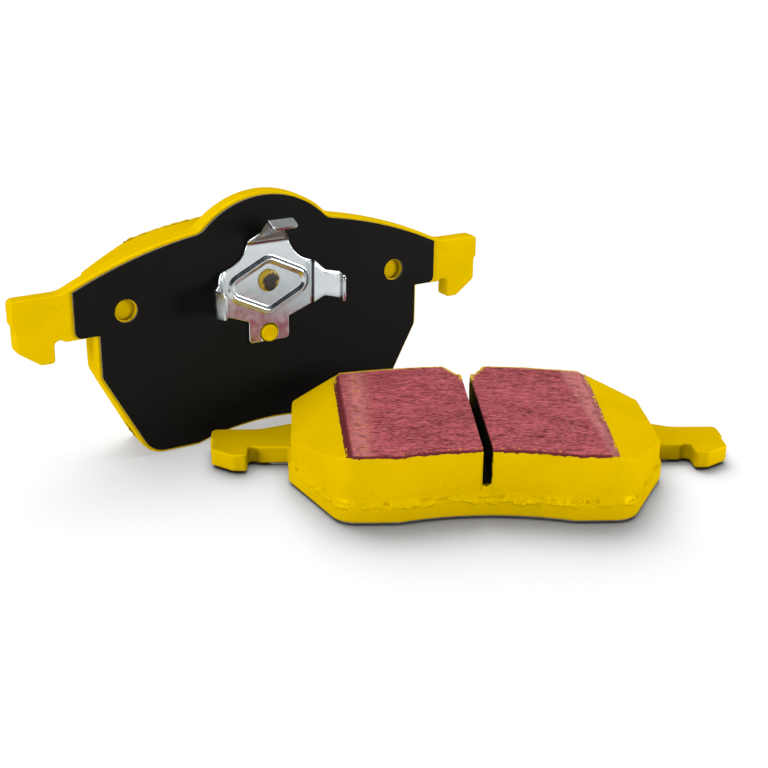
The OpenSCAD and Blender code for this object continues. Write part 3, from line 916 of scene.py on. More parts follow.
def coating_material(name, colours, pad):
    """Red bedding coat: strokes along the pad, abrasive grains, a dark cut edge and pits."""
    made, tree, inputs = start_material(name)
    where = object_place(tree, pad)
    short = strokes(tree, where, (0.45, 1.0, 1.0), 1500.0)
    long = strokes(tree, where, (0.32, 1.0, 1.0), 760.0)
    broad = strokes(tree, where, (0.5, 1.0, 1.0), 110.0)
    grit = grain(tree, where, 2600.0, 1100.0, 0.5)
    tone = weighted(tree, (short, 0.55), (long, 0.30), (broad, 0.15))
    tone = scaled(tree, tone, 0.0, 1.0, 0.18, 0.80)
    base = mixed(tree, tone, colours.coating_dark, colours.coating)
    flecks = specks(tree, where, 520.0, 0.10, 0.4)
    base = mixed(tree, maths(tree, "MULTIPLY", flecks, 0.35), base, FLECK)
    rough = mark(tree, "pitted")
    base = mixed(tree, maths(tree, "MULTIPLY", rough, 0.6), base, ROUGH_BAND)
    pits = grain(tree, where, 700.0, 330.0, 0.6)["Height"]
    hollow = maths(tree, "MULTIPLY", scaled(tree, pits, 1.0, 0.0, 0.40, 0.50), rough)
    base = mixed(tree, maths(tree, "MULTIPLY", hollow, 0.6), base, PIT)
    grains = maths(tree, "MULTIPLY", specks(tree, where, 900.0, 0.42, 0.5), mark(tree, "grains"))
    base = mixed(tree, grains, base, colours.coating_speck)
    base = mixed(tree, mark(tree, "cut"), base, colours.coating_edge)
    base = mixed(tree, mark(tree, "sprayed"), base, colours.powder)
    # painted reflection: glossy rays see the coat's +X part pale, so the clip mirrors it pale
    base = painted_pale_reflection(tree, where, calm_bounce(tree, base, 0.10))
    tree.links.new(base, inputs["Base Color"])
    height = weighted(tree, (short, 0.7), (grit["Height"], 0.4), (hollow, -1.2))
    bumped(tree, inputs, height, 0.8, 0.30 * MM)
    tree.links.new(slow(tree, grit["Mask"], 0.62, 0.82), inputs["Roughness"])
    inputs["Specular IOR Level"].default_value = 0.2
    return made


def rubber_material(name, colours):
    """Satin black rubber: fine leathery grain and a slow change of gloss."""
    made, tree, inputs = start_material(name)
    where = object_place(tree)
    leather = grain(tree, where, 2200.0, 500.0, 0.35)
    cloud = grain(tree, where, 120.0, 35.0, 0.6)
    tone = slow(tree, cloud["Height"], 0, 1)
    base = mixed(tree, tone, colours.rubber, shade(colours.rubber, 1.5))
    tree.links.new(base, inputs["Base Color"])
    tree.links.new(slow(tree, cloud["Mask"], 0.56, 0.68), inputs["Roughness"])
    bumped(tree, inputs, leather["Height"], 0.25, 0.08 * MM)
    inputs["Specular IOR Level"].default_value = 0.08
    return made


def zinc_material(name, colours, roughness):
    """Bright zinc plate: cloudy spangle, rolling lines and painted shade in its bends and folds."""
    made, tree, inputs = start_material(name)
    where = object_place(tree)
    cloud = grain(tree, where, 1500.0, 500.0, 0.4)
    lines = strokes(tree, where, (1.0, 1.0, 0.1), 1600.0)
    tone = slow(tree, cloud["Height"], 0.0, 1.0)
    base = mixed(tree, tone, shade(colours.zinc, 0.86), colours.zinc)
    # painted shade: the clip is darkened in its bends and over its folds
    tree.links.new(mixed(tree, mark(tree, "crease"), base, BEND_SHADE), inputs["Base Color"])
    inputs["Metallic"].default_value = 1.0
    rough = slow(tree, cloud["Mask"], roughness - 0.06, roughness + 0.10)
    tree.links.new(rough, inputs["Roughness"])
    bumped(tree, inputs, weighted(tree, (lines, 0.35), (cloud["Height"], 0.65)), 0.12, 0.04 * MM)
    return made


def head_material(name, colours):
    """Peened stud head: yellow coat worn through to dark bare metal."""
    made, tree, inputs = start_material(name)
    wear = grain(tree, object_place(tree), 900.0, 380.0, 0.5)["Height"]
    coated = maths(tree, "ADD", wear, mark(tree, "coated"))
    left = scaled(tree, coated, 0.0, 1.0, 0.60, 0.70)
    coat = shade(colours.powder, 0.55)
    tree.links.new(mixed(tree, left, colours.worn, coat), inputs["Base Color"])
    tree.links.new(scaled(tree, left, 0.1, 0.0), inputs["Metallic"])
    tree.links.new(scaled(tree, left, 0.32, 0.5), inputs["Roughness"])
    bumped(tree, inputs, wear, 0.6, 0.3 * MM)
    return made


def steel_material(name, base, roughness):
    """Cold-rolled sheet with fine lines along it."""
    made, tree, inputs = start_material(name)
    lines = strokes(tree, object_place(tree), (0.1, 1.0, 1.0), 2400.0)
    tree.links.new(mixed(tree, lines, shade(base, 0.7), base), inputs["Base Color"])
    inputs["Metallic"].default_value = 0.7
    tree.links.new(scaled(tree, lines, roughness, roughness + 0.1), inputs["Roughness"])
    bumped(tree, inputs, lines, 0.2, 0.05 * MM)
    return made


def glue_material(name, base):
    """Thin bonded adhesive film, matt and slightly uneven."""
    made, tree, inputs = start_material(name)
    film = grain(tree, object_place(tree), 1400.0, 300.0, 0.5)
    tree.links.new(mixed(tree, film["Mask"], shade(base, 0.6), base), inputs["Base Color"])
    tree.links.new(slow(tree, film["Mask"], 0.6, 0.8), inputs["Roughness"])
    bumped(tree, inputs, film["Height"], 0.3, 0.1 * MM)
    return made


def floor_material(name, base):
    """Pale matt floor with a faint mottling."""
    made, tree, inputs = start_material(name)
    cloud = grain(tree, object_place(tree), 8.0, 2.0, 0.5)["Mask"]
    tree.links.new(mixed(tree, cloud, base, shade(base, 1.01)), inputs["Base Color"])
    inputs["Roughness"].default_value = 0.9
    inputs["Specular IOR Level"].default_value = 0.1
    return made


# ---------------------------------------------------------------- operators


class PADSET_OT_finishes(bpy.types.Operator):
    """Makes the finishes of the pads, the shims and the clip"""

    bl_idname = "padset.finishes"
    bl_label = "Finishes"

    def execute(self, context):
        colours = context.scene.pad_colours
        powder_material("powder_coat", colours, 0.40, 0.30, 0.035)
        compound_material("painted_compound", colours)
        for pad in both_pads():
            coating_material(f"bedding_coat_{pad.name}", colours, pad)
        rubber_material("shim_face", colours)
        steel_material("shim_sheet", tuple(colours.core), 0.4)
        glue_material("bond_film", BOND)
        zinc_material("zinc_plate", colours, 0.17)
        head_material("peened_head", colours)
        return {"FINISHED"}


class PADSET_OT_plates(bpy.types.Operator):
    """Makes the coated steel plates: the outline carried round a rounded edge, with key holes"""

    bl_idname = "padset.plates"
    bl_label = "Backing plates"

    def execute(self, context):
        sizes = context.scene.pad_sizes
        edge, soften = sizes.plate_edge / MM, sizes.corner_soften / MM
        angles = np.linspace(0, 90, 7)
        for pad in both_pads():
            low = cad_mesh(f"{pad.name}_shim_adhesive", pad)[0][:, 2].max()
            high = cad_mesh(f"{pad.name}_backing_plate", pad)[0][:, 2].max()
            loops = loops_at(f"{pad.name}_backing_plate", pad, high)
            shell, walls = Shell(), []
            for number, loop in enumerate(loops):
                path = softened(loop, PLATE_STEP, HOLE_SOFTEN if number else soften)
                radius = HOLE_EDGE if number else edge
                inner = (radius + LAND) * (-1 if number else 1)
                lower, upper = (low, radius, angles), (high, radius, angles)
                shares = np.linspace(0.1, 0.9, 9)
                blur = PLATE_RIM_BLUR
                wall = rounded_wall(path, PLATE_STEP, inner, blur, lower, upper, shares)
                if number:
                    wall = wall[:, ::-1]
                else:
                    wave = noise(wall.reshape(-1, 3), (9, 9, 3), seed=3).reshape(wall.shape[:2])
                    wall[:, :, :2] -= outward(path)[None] * (0.05 * (1 + wave))[:, :, None]
                shell.grid(wall)
                walls.append(wall)
            shell.cap([wall[0] for wall in walls], step=2.5, flip=True)
            shell.cap([wall[-1] for wall in walls], step=2.5)
            shell.piece(
                f"{pad.name}_plate",
                pad,
                "powder_coat",
                f"{pad.name}_pad",
                "yellow_coat",
                f"{pad.name}_backing_plate",
            )
        return {"FINISHED"}


class PADSET_OT_underlayers(bpy.types.Operator):
    """Makes the moulded underlayers with their lumpy seam, and the plugs in the key holes"""

    bl_idname = "padset.underlayers"
    bl_label = "Underlayers"

    def execute(self, context):
        lump = context.scene.pad_sizes.seam_lump / MM
        for pad in both_pads():
            corners = cad_mesh(f"{pad.name}_underlayer", pad)[0]
            plate = cad_mesh(f"{pad.name}_backing_plate", pad)[0]
            top, base = corners[:, 2].max(), plate[:, 2].max()
            path = softened(loops_at(f"{pad.name}_underlayer", pad, top)[0], 0.26, 0.4)
            wall, seam_shade = self.seam(path, top, base, lump)
            wall[:, :, 1] = np.maximum(wall[:, :, 1], plate[:, 1].min() + 0.04)
            shell = Shell()
            shell.grid(wall[::-1], seam_shade[::-1].ravel())
            shell.cap([wall[0]])
            shell.cap([wall[-1]], flip=True)
            self.plugs(shell, corners[corners[:, 2] < base - 0.5], base)
            shell.piece(
                f"{pad.name}_bonding_layer",
                pad,
                "powder_coat",
                f"{pad.name}_pad",
                "underlayer",
                f"{pad.name}_underlayer",
                # the seam attribute carries the painted shade of the seam's hollows and foot
                {"seam": None},
            )
        return {"FINISHED"}

    @staticmethod
    def seam(path, top, base, lump):
        """The seam's wall from its top rim down, and how much painted shade each point gets.

        Its lower edge sags over the plate by a noise. Three sizes of noise push its points
        outward. The hollows between those lumps, and the lowest rows where the seam meets the
        plate, get painted shade.
        """
        flare, share = np.array(SEAM_PROFILE).T
        down = share[:, None]
        rim = at_height(path, 0.0)
        sag = 0.55 + 0.35 * noise(rim, (7, 7, 5), seed=11)
        sag += 0.30 * noise(rim, (1.9, 1.9, 2), seed=12) + 0.12 * noise(rim, (0.7, 0.7, 2), seed=13)
        bottom = base - SEAM_SAG * np.clip(sag, 0.05, 1.0)
        rows = zip(flare, share)
        wall = np.array([ring(path, inset, top - (top - bottom) * part) for inset, part in rows])
        flat = wall.reshape(-1, 3)
        wave = noise(flat, (2.4, 2.4, 1.6), seed=21) + 0.7 * noise(flat, (1.0, 1.0, 0.8), seed=22)
        wave += 0.45 * noise(flat, (0.5, 0.5, 0.45), seed=23)
        wave = np.clip(wave, -0.9, 1.1).reshape(wall.shape[:2])
        pits = smooth(0.15, 0.7, -wave) * smooth(0.1, 0.5, down)
        foot_side = smooth(-30, -40, path[:, 1])
        wave = wave * lump * (0.35 + 0.65 * foot_side) * smooth(0.2, 0.7, down)
        wave[-1] = 0
        wave -= 0.22 * smooth(0.4, 0.8, down) * (1 - foot_side)
        wall[:, :, :2] += outward(path)[None] * wave[:, :, None]
        # painted shade: the hollows between the lumps and the seam's foot by the plate are darkened
        return wall, np.maximum(0.55 * pits, smooth(0.90, 0.99, down))

    @staticmethod
    def plugs(shell, corners, base):
        """The underlayer's ends in the two key holes, a little domed."""
        floor = corners[:, 2].min()
        for side in (-1, 1):
            mine = corners[corners[:, 0] * side > 0]
            centre = (mine[:, :2].max(0) + mine[:, :2].min(0)) / 2
            radius = np.ptp(mine[:, 0]) / 2 + 0.02
            radii = [0, 0.5 * radius, 0.8 * radius, radius - 0.15, radius, radius, 0]
            rise = [0.02, 0, 0.05, 0.1, 0.3]
            turned_profile(shell, centre, radii, [floor + up for up in rise] + [base, base])


class PADSET_OT_blocks(bpy.types.Operator):
    """Makes the friction blocks: moulded walls, sloping ends and the sawn centre slot"""

    bl_idname = "padset.blocks"
    bl_label = "Friction blocks"

    def execute(self, context):
        for pad in both_pads():
            self.block(pad, context.scene.pad_sizes.block_edge / MM)
        return {"FINISHED"}

    @staticmethod
    def block(pad, edge):
        """One pad's friction block."""
        node = f"{pad.name}_friction_block"
        z = cad_mesh(node, pad)[0][:, 2]
        low, high = z.min(), z.max()
        ends = chamfer_planes(pad)
        half, floor = slot_shape(pad, high)
        lines = (-half, -half + 0.02, half - 0.02, half)
        path = crossed(softened(loops_at(node, pad, low)[0], 0.45, 0.4), lines)

        def top(flat):
            """The disc face or the sloping ends, and a crumbly floor inside the slot."""
            crumbs = 0.45 * noise(flat, (0.8, 0.8), seed=35)
            crumbs += 0.3 * noise(flat, (0.35, 0.35), seed=36)
            in_slot = np.abs(flat[:, 0]) < half - 0.01
            return np.where(in_slot, floor + crumbs, np.minimum(high, ends(flat)))

        def bulge(wall):
            """Slow and fine waves of the wall, and crumbs beside the slot."""
            flat = wall.reshape(-1, 3)
            shift = 0.10 * noise(flat, (11, 11, 40), seed=31)
            shift += 0.03 * noise(flat, (2.2, 2.2, 2.0), seed=32)
            near_slot = np.exp(-(((np.abs(flat[:, 0]) - half) / 0.9) ** 2))
            shift += near_slot * (0.05 + 0.22 * noise(flat, (0.6, 0.6, 0.6), seed=33))
            return shift.reshape(wall.shape[:2])

        def relief(flat):
            """Slow waves of the top."""
            return 0.06 * noise(flat, (4, 4), seed=34)

        def bare(points):
            """Where the slot shows bare compound, more so deeper in."""
            in_slot = (np.abs(points[:, 0]) < half + 0.05) & (points[:, 2] > floor - 0.9)
            deep = gap(points[:, :2], path)
            return in_slot * smooth(0.1, 0.8, deep) * (0.6 + 0.4 * smooth(1.0, 4.0, deep))

        shell = Shell()
        moulded(shell, path, low, top, edge, 1.6, 14, lines, bulge, relief)
        shell.piece(
            f"{pad.name}_block",
            pad,
            "painted_compound",
            f"{pad.name}_pad",
            "painted_friction",
            node,
            {"bare": bare},
        )


class PADSET_OT_coatings(bpy.types.Operator):
    """Makes the red bedding coats with their strokes, ragged edges and sloping ends"""

    bl_idname = "padset.coatings"
    bl_label = "Bedding coats"

    def execute(self, context):
        for pad in both_pads():
            high = cad_mesh(f"{pad.name}_friction_block", pad)[0][:, 2].max()
            half = slot_shape(pad, high)[0]
            for side in ("left", "right"):
                self.coat(pad, side, half, context.scene.pad_sizes)
        return {"FINISHED"}

    def coat(self, pad, side, half, sizes):
        """One patch of the coat, beside a slot of that half width."""
        node = f"{pad.name}_coating_{side}"
        ends = chamfer_planes(pad)
        corners = cad_mesh(node, pad)[0]
        low, high = corners[:, 2].min(), corners[:, 2].max()
        seed = 40 if corners[:, 0].mean() < 0 else 50
        path = softened(loops_at(node, pad, low)[0], 0.3, 0.25)
        slot_side = np.abs(path[:, 0]) < half + 0.8
        wobble = 0.16 * noise(path, (1.1, 1.1), seed) + 0.1 * noise(path, (0.5, 0.5), seed + 1)
        wobble = np.where(slot_side, 0.25 * wobble, wobble)
        path = path + outward(path) * (0.05 + wobble)[:, None]
        drip = 0.6 * noise(path, (3.1, 3.1), seed + 2) + 0.6 * noise(path, (0.9, 0.9), seed + 3)
        drip = sizes.ragged / MM * np.clip(drip + 0.45, 0.25, 1.3)
        sloping = smooth(high - 0.05, high - 0.4, ends(path))
        base = low - np.where(slot_side, 0.1, drip) * (1 - sloping)

        def top(flat):
            """The disc face, and the sloping ends a little below their planes."""
            slope = ends(flat)
            step = 0.22 * smooth(0.0, 0.25, high - slope)
            return np.where(slope < high, slope - step, high)

        def relief(flat):
            """Long strokes of two sizes, less the pits of the rough bands."""
            long = noise(flat, (6.0, 0.8), seed + 4) + 0.6 * noise(flat, (3.0, 0.45), seed + 5)
            pits = smooth(0.1, 0.7, noise(flat, (0.9, 0.9), seed + 6))
            return sizes.stroke_relief / MM * long - 0.12 * self.band(pad, flat) * pits

        def cut(points):
            """The dark cut edge: the wall, and the sloping ends, one darker than the other."""
            slope = ends(points[:, :2])
            strip = smooth(high + 0.02, high - 0.25, slope)
            dark = (points[:, 0] < 0) if pad.name == "outer" else (points[:, 0] > 0)
            wall = 0.95 * smooth(high - 0.25, high - 0.6, points[:, 2])
            return np.where(slope < high - 0.05, np.where(dark, 1.0, 0.3) * strip, wall)

        def sprayed(points):
            """Yellow overspray on the crown side, over the wall and the very edge."""
            beside = smooth(1.1, 0.6, gap(points[:, :2], path[path[:, 1] > 6.0]))
            return beside * smooth(6.0, 9.0, points[:, 1])

        def grains(points):
            """How many orange grains show: most along the foot edge and by the -X bevel."""
            flat = points[:, :2]
            near = smooth(1.6, 0.2, flat[:, 1] - self.near_edge(path, flat))
            by_bevel = np.exp(-(((flat[:, 0] + 33.6) / 2.4) ** 2))
            return np.clip(near * 0.9 + by_bevel + 0.02, 0, 1)

        def pitted(points):
            """The rough bands."""
            return self.band(pad, points[:, :2])

        shell = Shell()
        moulded(shell, path, base, top, sizes.coating_edge / MM, 0.55, rows=5, relief=relief)
        shell.piece(
            f"{pad.name}_coat_{side}",
            pad,
            f"bedding_coat_{pad.name}",
            f"{pad.name}_pad",
            "bedding_coat",
            node,
            {"cut": cut, "grains": grains, "sprayed": sprayed, "pitted": pitted},
        )

    @staticmethod
    def band(pad, flat):
        """The rough bands: a broad one at the +X end, a narrow one by the -X bevel."""
        narrow = np.exp(-(((flat[:, 0] + 34.4) / 2.8) ** 2))
        return np.maximum(smooth(29.5, 32.0, flat[:, 0] + 0.045 * flat[:, 1]), narrow)

    @staticmethod
    def near_edge(path, flat):
        """Height of the coat's foot edge at each point's x."""
        foot = path[path[:, 1] < -35]
        foot = foot[np.argsort(foot[:, 0])]
        return np.interp(flat[:, 0], foot[:, 0], foot[:, 1])


class PADSET_OT_shims(bpy.types.Operator):
    """Gives the shims' layers their finishes"""

    bl_idname = "padset.shims"
    bl_label = "Shims"

    def execute(self, context):
        finishes = {
            "shim_rubber": "shim_face",
            "shim_core": "shim_sheet",
            "shim_adhesive": "bond_film",
        }
        for pad in both_pads():
            for part, finish in finishes.items():
                node = frame["nodes"][f"{pad.name}_{part}"]
                node.data.materials.clear()
                node.data.materials.append(bpy.data.materials[finish])
        return {"FINISHED"}


class PADSET_OT_studs(bpy.types.Operator):
    """Makes the peened stud head and the locating pip on the inner plate's back"""

    bl_idname = "padset.studs"
    bl_label = "Stud and pip"

    def execute(self, context):
        sizes = context.scene.pad_sizes
        back = both_pads()[1].back()
        sheet, radius = sizes.sheet / MM, sizes.stud_head / MM / 2
        height = sizes.head_height / MM

        centre = np.array([0, sizes.stud_rise / MM])

        def hammered(points):
            """Dents on the head's top, and an outline that isn't quite round."""
            flat = points.reshape(-1, 3)
            dents = 0.10 * noise(flat, (1.3, 1.3, 1.3), seed=61).reshape(points.shape[:2])
            points[:, :, 2] += dents * smooth(sheet, sheet + 0.6, points[:, :, 2])
            flat = points.reshape(-1, 3)
            spread = 1 + 0.02 * noise(flat, (2.2, 2.2, 9), seed=62).reshape(points.shape[:2])
            points[:, :, :2] = centre + (points[:, :, :2] - centre) * spread[:, :, None]
            return points

        share, rise = np.array(HEAD_PROFILE).T
        shell = Shell()
        turned_profile(
            shell,
            centre,
            share * (radius - 0.1),
            sheet + rise * (height - 0.05),
            wobble=hammered,
        )

        def coated(points):
            """How much coat is left: most round the rim, more to the upper left."""
            x, y = points[:, 0], points[:, 1] - centre[1]
            reach = np.hypot(x, y) / radius
            return 0.34 * reach**3 + 0.10 * (y - x) / radius - 0.02

        shell.piece(
            "clip_stud_head",
            back,
            "peened_head",
            "inner_pad",
            "yellow_coat",
            None,
            {"coated": coated},
        )
        shell = Shell()
        radius, height = sizes.pip_width / MM / 2, sizes.pip_height / MM
        radii = [0, radius, radius] + [radius - inset for inset in (0.08, 0.3, 0.6, 1.1)] + [0]
        heights = [-0.9, -0.9] + [height - down for down in (0.4, 0.12, 0, 0.02, 0.14, 0.2)]
        turned_profile(shell, (0, -sizes.pip_drop / MM), radii, heights)
        shell.piece("locating_pip", back, "powder_coat", "inner_pad", "yellow_coat", None)
        return {"FINISHED"}


class PADSET_OT_clip_sheet(bpy.types.Operator):
    """Makes the clip's flat spring sheet with its raised diamond bead"""

    bl_idname = "padset.clip_sheet"
    bl_label = "Clip sheet"

    def execute(self, context):
        sizes = context.scene.pad_sizes
        back = both_pads()[1].back()
        thick = sizes.sheet / MM
        bead_top = cad_mesh("clip_base", back)[0][:, 2].max()
        rims = [even(loop, 0.2) for loop in loops_at("clip_base", back, bead_top)[:2]]
        width = gap(rims[1], rims[0]).mean()

        def top(flat):
            """A ridge: 1 on a narrow crest midway between the bead's rims, 0 at both rims."""
            across = np.abs(gap(flat, rims[0]) - gap(flat, rims[1])) / width
            fall = np.clip((across - 0.16) / 0.76, 0, 1)
            fall = 0.75 * fall + 0.25 * smooth(0, 1, fall)
            return thick + (bead_top - 0.03 - thick) * (1 - fall)

        shell, walls = Shell(), []
        for number, loop in enumerate(loops_at("clip_base", back, 0.0)):
            path = softened(loop, SHEET_STEP, 0.22)
            inner = SHEET_LAND * (-1 if number else 1)
            lower, upper = (SHEET_LIFT, 0.2, (0, 30, 60, 90)), (thick, 0.25, (0, 22, 45, 68, 90))
            wall = rounded_wall(path, SHEET_STEP, inner, SHEET_RIM_BLUR, lower, upper)
            wall = wall[:, ::-1] if number else wall
            shell.grid(wall)
            walls.append(wall)
        shell.cap([wall[-1] for wall in walls], top, 0.22)
        shell.cap([wall[0] for wall in walls], flip=True)
        shell.piece("clip_sheet", back, "zinc_plate", "inner_pad", "spring_steel", "clip_base")
        return {"FINISHED"}


class PADSET_OT_clip_fingers(bpy.types.Operator):
    """Makes the clip's three spring fingers, each bent up out of the sheet at its bend"""

    bl_idname = "padset.clip_fingers"
    bl_label = "Clip fingers"

    def execute(self, context):
        sizes = context.scene.pad_sizes
        back = both_pads()[1].back()
        drop = -sizes.clip_drop / MM
        turns = {
            "top": (math.pi / 2, (0, 0, 0), sizes.bend_top / MM),
            "left": (math.pi, (0, drop, 0), sizes.bend_side / MM),
            "right": (0.0, (0, drop, 0), sizes.bend_side / MM),
        }
        marks = {"top": (0.6, 0.36), "left": (0.1, 0.04), "right": (0.97, 0.0)}  # painted shade in the bends and folds, painted shade rising with height above the sheet
        thick = sizes.sheet / MM
        for name in FINGERS:
            turn, shift, bend = turns[name]
            place = back.turned(turn, shift)
            fold = np.array([sizes.fold_radius / MM - thick / 2, sizes.fold_height / MM])
            tip = fold + [-sizes.lip_lean / MM, sizes.lip_height / MM]
            root = np.array([bend, thick / 2 + 0.3])
            line = np.array([[bend - 1.3, thick / 2], [bend - 0.1, thick / 2], fold, tip])
            line = self.rounded(line, [0.0, 1.3, 1.1, 0.0])
            self.strip(place, name, line, root, fold, thick, sizes, *marks[name])
        return {"FINISHED"}

    @staticmethod
    def rounded(corners, blurs):
        """An open line of corners with each inner corner cut to a curve of that reach."""
        parts = [corners[:1]]
        for k in range(1, len(corners) - 1):
            a, b, c = corners[k - 1 : k + 2]
            start = b + (a - b) / np.linalg.norm(a - b) * blurs[k]
            stop = b + (c - b) / np.linalg.norm(c - b) * blurs[k]
            t = np.linspace(0, 1, 9)[:, None]
            parts.append((1 - t) ** 2 * start + 2 * t * (1 - t) * b + t**2 * stop)
        parts.append(corners[-1:])
        line = np.vstack(parts)
        along = np.r_[0, np.cumsum(np.linalg.norm(np.diff(line, axis=0), axis=1))]
        at = np.linspace(0, along[-1], 90)
        return np.stack([np.interp(at, along, line[:, k]) for k in (0, 1)], axis=1)

    @staticmethod
    def strip(place, name, line, root, fold, thick, sizes, crease, height_shade):
        """The finger: a flat oval section carried along its centre line.

        The half width falls from the root's to the tip's below the fold, and closes on a
        quarter circle at the end.
        """
        tangent = np.gradient(line, axis=0)
        tangent /= np.linalg.norm(tangent, axis=1, keepdims=True)
        normal = np.stack([-tangent[:, 1], tangent[:, 0]], axis=1)
        along = np.r_[0, np.cumsum(np.linalg.norm(np.diff(line, axis=0), axis=1))]
        share = smooth(root[1] - 0.4, 0.45 * fold[1], line[:, 1])
        linear = np.clip((line[:, 1] - root[1]) / (0.45 * fold[1] - root[1]), 0, 1)
        share = 0.35 * share + 0.65 * linear
        wide = sizes.finger_root / MM / 2
        half = wide + (sizes.finger_tip / MM / 2 - wide) * share
        corner = 1.0
        past = np.clip(along - (along[-1] - corner), 0, corner)
        half = half - corner + np.sqrt(np.maximum(corner**2 - past**2, 0))
        radius = thick / 2 * 0.95
        turn = np.radians(np.r_[np.linspace(-90, 90, ARC), np.linspace(90, 270, ARC)])
        side = np.r_[np.ones(ARC), -np.ones(ARC)]
        flat_rows = np.linspace(-1, 1, 7)[1:-1]
        ends = [(s, np.cos(a) * ROUND_END, np.sin(a)) for s, a in zip(side, turn)]
        upper = [(-f, 0.0, 1.0) for f in flat_rows]
        lower = [(f, 0.0, -1.0) for f in flat_rows]
        s, out, up = np.array(ends[:ARC] + upper + ends[ARC:] + lower).T
        y = s[None, :] * (half[:, None] - radius * ROUND_END) + out[None, :] * radius
        lift = up[None, :] * (thick / 2 + 0.02)
        x = line[:, 0:1] + normal[:, 0:1] * lift
        z = line[:, 1:2] + normal[:, 1:2] * lift
        body = np.stack([x, y, z], axis=-1)
        middle = np.repeat(body.mean(axis=1, keepdims=True), body.shape[1], axis=1)
        shell = Shell()
        shell.grid(np.concatenate([middle[:1], body, middle[-1:]]))
        start = place.place(np.array([root[0] - 0.6, 0, root[1]]))
        stop = place.place(np.array([root[0] + 0.6, 0, root[1]]))

        def shade_in_bends(points):
            """Painted shade: a dark line in the bend's hollow, a fainter one over the fold, and a
            darkening that grows with height above the sheet.
            """
            hollow = np.hypot(points[:, 0] - root[0] + 0.35, points[:, 2] - thick)
            ridge = np.hypot(points[:, 0] - fold[0], points[:, 2] - fold[1])
            lines = smooth(0.75, 0.35, hollow) + 0.6 * smooth(0.75, 0.35, ridge)
            # painted shade: bends and folds darkened, and the finger darker the higher it rises
            return np.clip(crease * lines, height_shade * smooth(0.2, 1.2, points[:, 2] - thick), 1)

        shell.piece(
            f"clip_spring_{name}",
            place,
            "zinc_plate",
            ("inner_pad", f"finger_{name}", start, stop),
            "spring_steel",
            f"clip_finger_{name}",
            {"crease": shade_in_bends},
        )


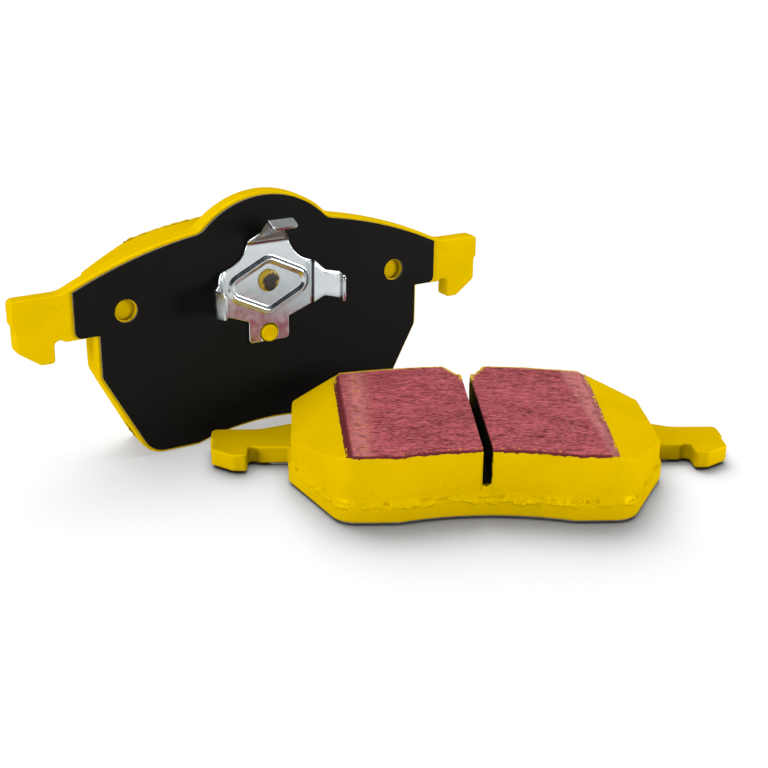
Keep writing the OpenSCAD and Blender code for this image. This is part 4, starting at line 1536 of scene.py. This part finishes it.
class PADSET_OT_stage(bpy.types.Operator):
    """Makes the pale floor, the soft lights and the camera"""

    bl_idname = "padset.stage"
    bl_label = "Stage"

    def execute(self, context):
        scene = context.scene
        colours = scene.pad_colours
        floor_material("studio_floor", tuple(colours.floor))
        reach = FLOOR_REACH
        mesh = bpy.data.meshes.new("floor")
        corners = [(-reach, -reach, 0), (reach, -reach, 0), (reach, reach, 0), (-reach, reach, 0)]
        mesh.from_pydata(corners, [], [(0, 1, 2, 3)])
        mesh.materials.append(bpy.data.materials["studio_floor"])
        floor = bpy.data.objects.new("floor", mesh)
        scene.collection.objects.link(floor)
        names = ("lit_set", "lit_floor", "low_pieces")
        pieces, ground, low = (bpy.data.collections.new(name) for name in names)
        ground.objects.link(floor)
        for made in scene.objects:
            if made.type == "MESH" and made is not floor:
                pieces.objects.link(made)
                if made.name.startswith("outer"):
                    low.objects.link(made)
        self.lamp(scene, "key", (-0.25, -0.05, 1.15), 0.8, 9.5, pieces)
        self.lamp(scene, "left_fill", (-0.95, -0.95, 0.24), 0.6, 13.5, pieces)
        self.lamp(scene, "right_fill", (1.28, -0.42, 0.16), 0.6, 16.0, pieces)
        self.sun(scene, "low_sun", (0.16, -0.72, -0.70), 2.95, ground, low)
        self.sun(scene, "high_sun", (0.06, -0.28, -0.96), 1.5, ground, None)
        self.backdrop(scene)
        view = bpy.data.cameras.new("camera")
        view.lens = CAMERA_LENS
        view.sensor_width = CAMERA_SENSOR
        view.clip_start = 0.01
        view.clip_end = 50.0
        camera = bpy.data.objects.new("camera", view)
        camera.location = CAMERA_PLACE
        camera.rotation_euler = [math.radians(a) for a in CAMERA_TURN]
        scene.collection.objects.link(camera)
        scene.camera = camera
        scene.view_settings.view_transform = "Standard"
        return {"FINISHED"}

    @staticmethod
    def lamp(scene, name, place, size, power, receivers=None):
        """A square soft light that looks at the set, and may light those pieces alone."""
        light = bpy.data.lights.new(name, "AREA")
        light.size = size
        light.energy = power
        lamp = bpy.data.objects.new(name, light)
        lamp.location = place
        aim = Vector((0, 0, 0.03)) - Vector(place)
        lamp.rotation_euler = aim.to_track_quat("-Z", "Y").to_euler()
        if receivers:
            lamp.light_linking.receiver_collection = receivers
        scene.collection.objects.link(lamp)

    @staticmethod
    def sun(scene, name, aim, power, receivers, blockers):
        """Broad sunlight on the floor alone, shadowed by those pieces or by all of them."""
        light = bpy.data.lights.new(name, "SUN")
        light.energy = power
        light.angle = SUN_SPREAD
        lamp = bpy.data.objects.new(name, light)
        lamp.rotation_euler = Vector(aim).to_track_quat("-Z", "Y").to_euler()
        lamp.light_linking.receiver_collection = receivers
        if blockers:
            lamp.light_linking.blocker_collection = blockers
        scene.collection.objects.link(lamp)

    @staticmethod
    def backdrop(scene):
        """A pale surround: bright above and behind the set, dim low on the camera's side."""
        world = bpy.data.worlds.new("surround")
        world.use_nodes = True
        tree = world.node_tree
        background = tree.nodes["Background"]
        links = {0: put(tree, "ShaderNodeTexCoord").outputs["Generated"], 1: (0.0, 0.6, 0.8)}
        height = put(tree, "ShaderNodeVectorMath", links, operation="DOT_PRODUCT").outputs["Value"]
        share = scaled(tree, height, 0.0, 1.0, 0.15, 0.80)
        tree.links.new(mixed(tree, share, DIM_SIDE, BRIGHT_SIDE), background.inputs["Color"])
        background.inputs["Strength"].default_value = 0.58
        scene.world = world


class PADSET_PT_panel(bpy.types.Panel):
    """Lists the pieces of the pad set"""

    bl_idname = "PADSET_PT_panel"
    bl_label = "Disc brake pad set"
    bl_space_type = "VIEW_3D"
    bl_region_type = "UI"
    bl_category = "Pad set"

    def draw(self, context):
        for operator in OPERATORS:
            self.layout.operator(operator.bl_idname)
        for settings in (context.scene.pad_sizes, context.scene.pad_colours):
            for key in settings.bl_rna.properties.keys():
                if key not in ("rna_type", "name"):
                    self.layout.prop(settings, key)


OPERATORS = (
    PADSET_OT_finishes,
    PADSET_OT_plates,
    PADSET_OT_underlayers,
    PADSET_OT_blocks,
    PADSET_OT_coatings,
    PADSET_OT_shims,
    PADSET_OT_studs,
    PADSET_OT_clip_sheet,
    PADSET_OT_clip_fingers,
    PADSET_OT_stage,
)
CLASSES = (PadSetSizes, PadSetColours, *OPERATORS, PADSET_PT_panel)


def register():
    """Registers the classes and puts the two groups of settings on the scene."""
    for made in CLASSES:
        bpy.utils.register_class(made)
    bpy.types.Scene.pad_sizes = PointerProperty(type=PadSetSizes)
    bpy.types.Scene.pad_colours = PointerProperty(type=PadSetColours)


def unregister():
    """Takes the settings and the classes away again."""
    del bpy.types.Scene.pad_colours
    del bpy.types.Scene.pad_sizes
    for made in reversed(CLASSES):
        bpy.utils.unregister_class(made)


def main():
    """Builds the set with its operators."""
    register()
    for operator in OPERATORS:
        family, name = operator.bl_idname.split(".")
        getattr(getattr(bpy.ops, family), name)()


if __name__ == "__main__":
    main()
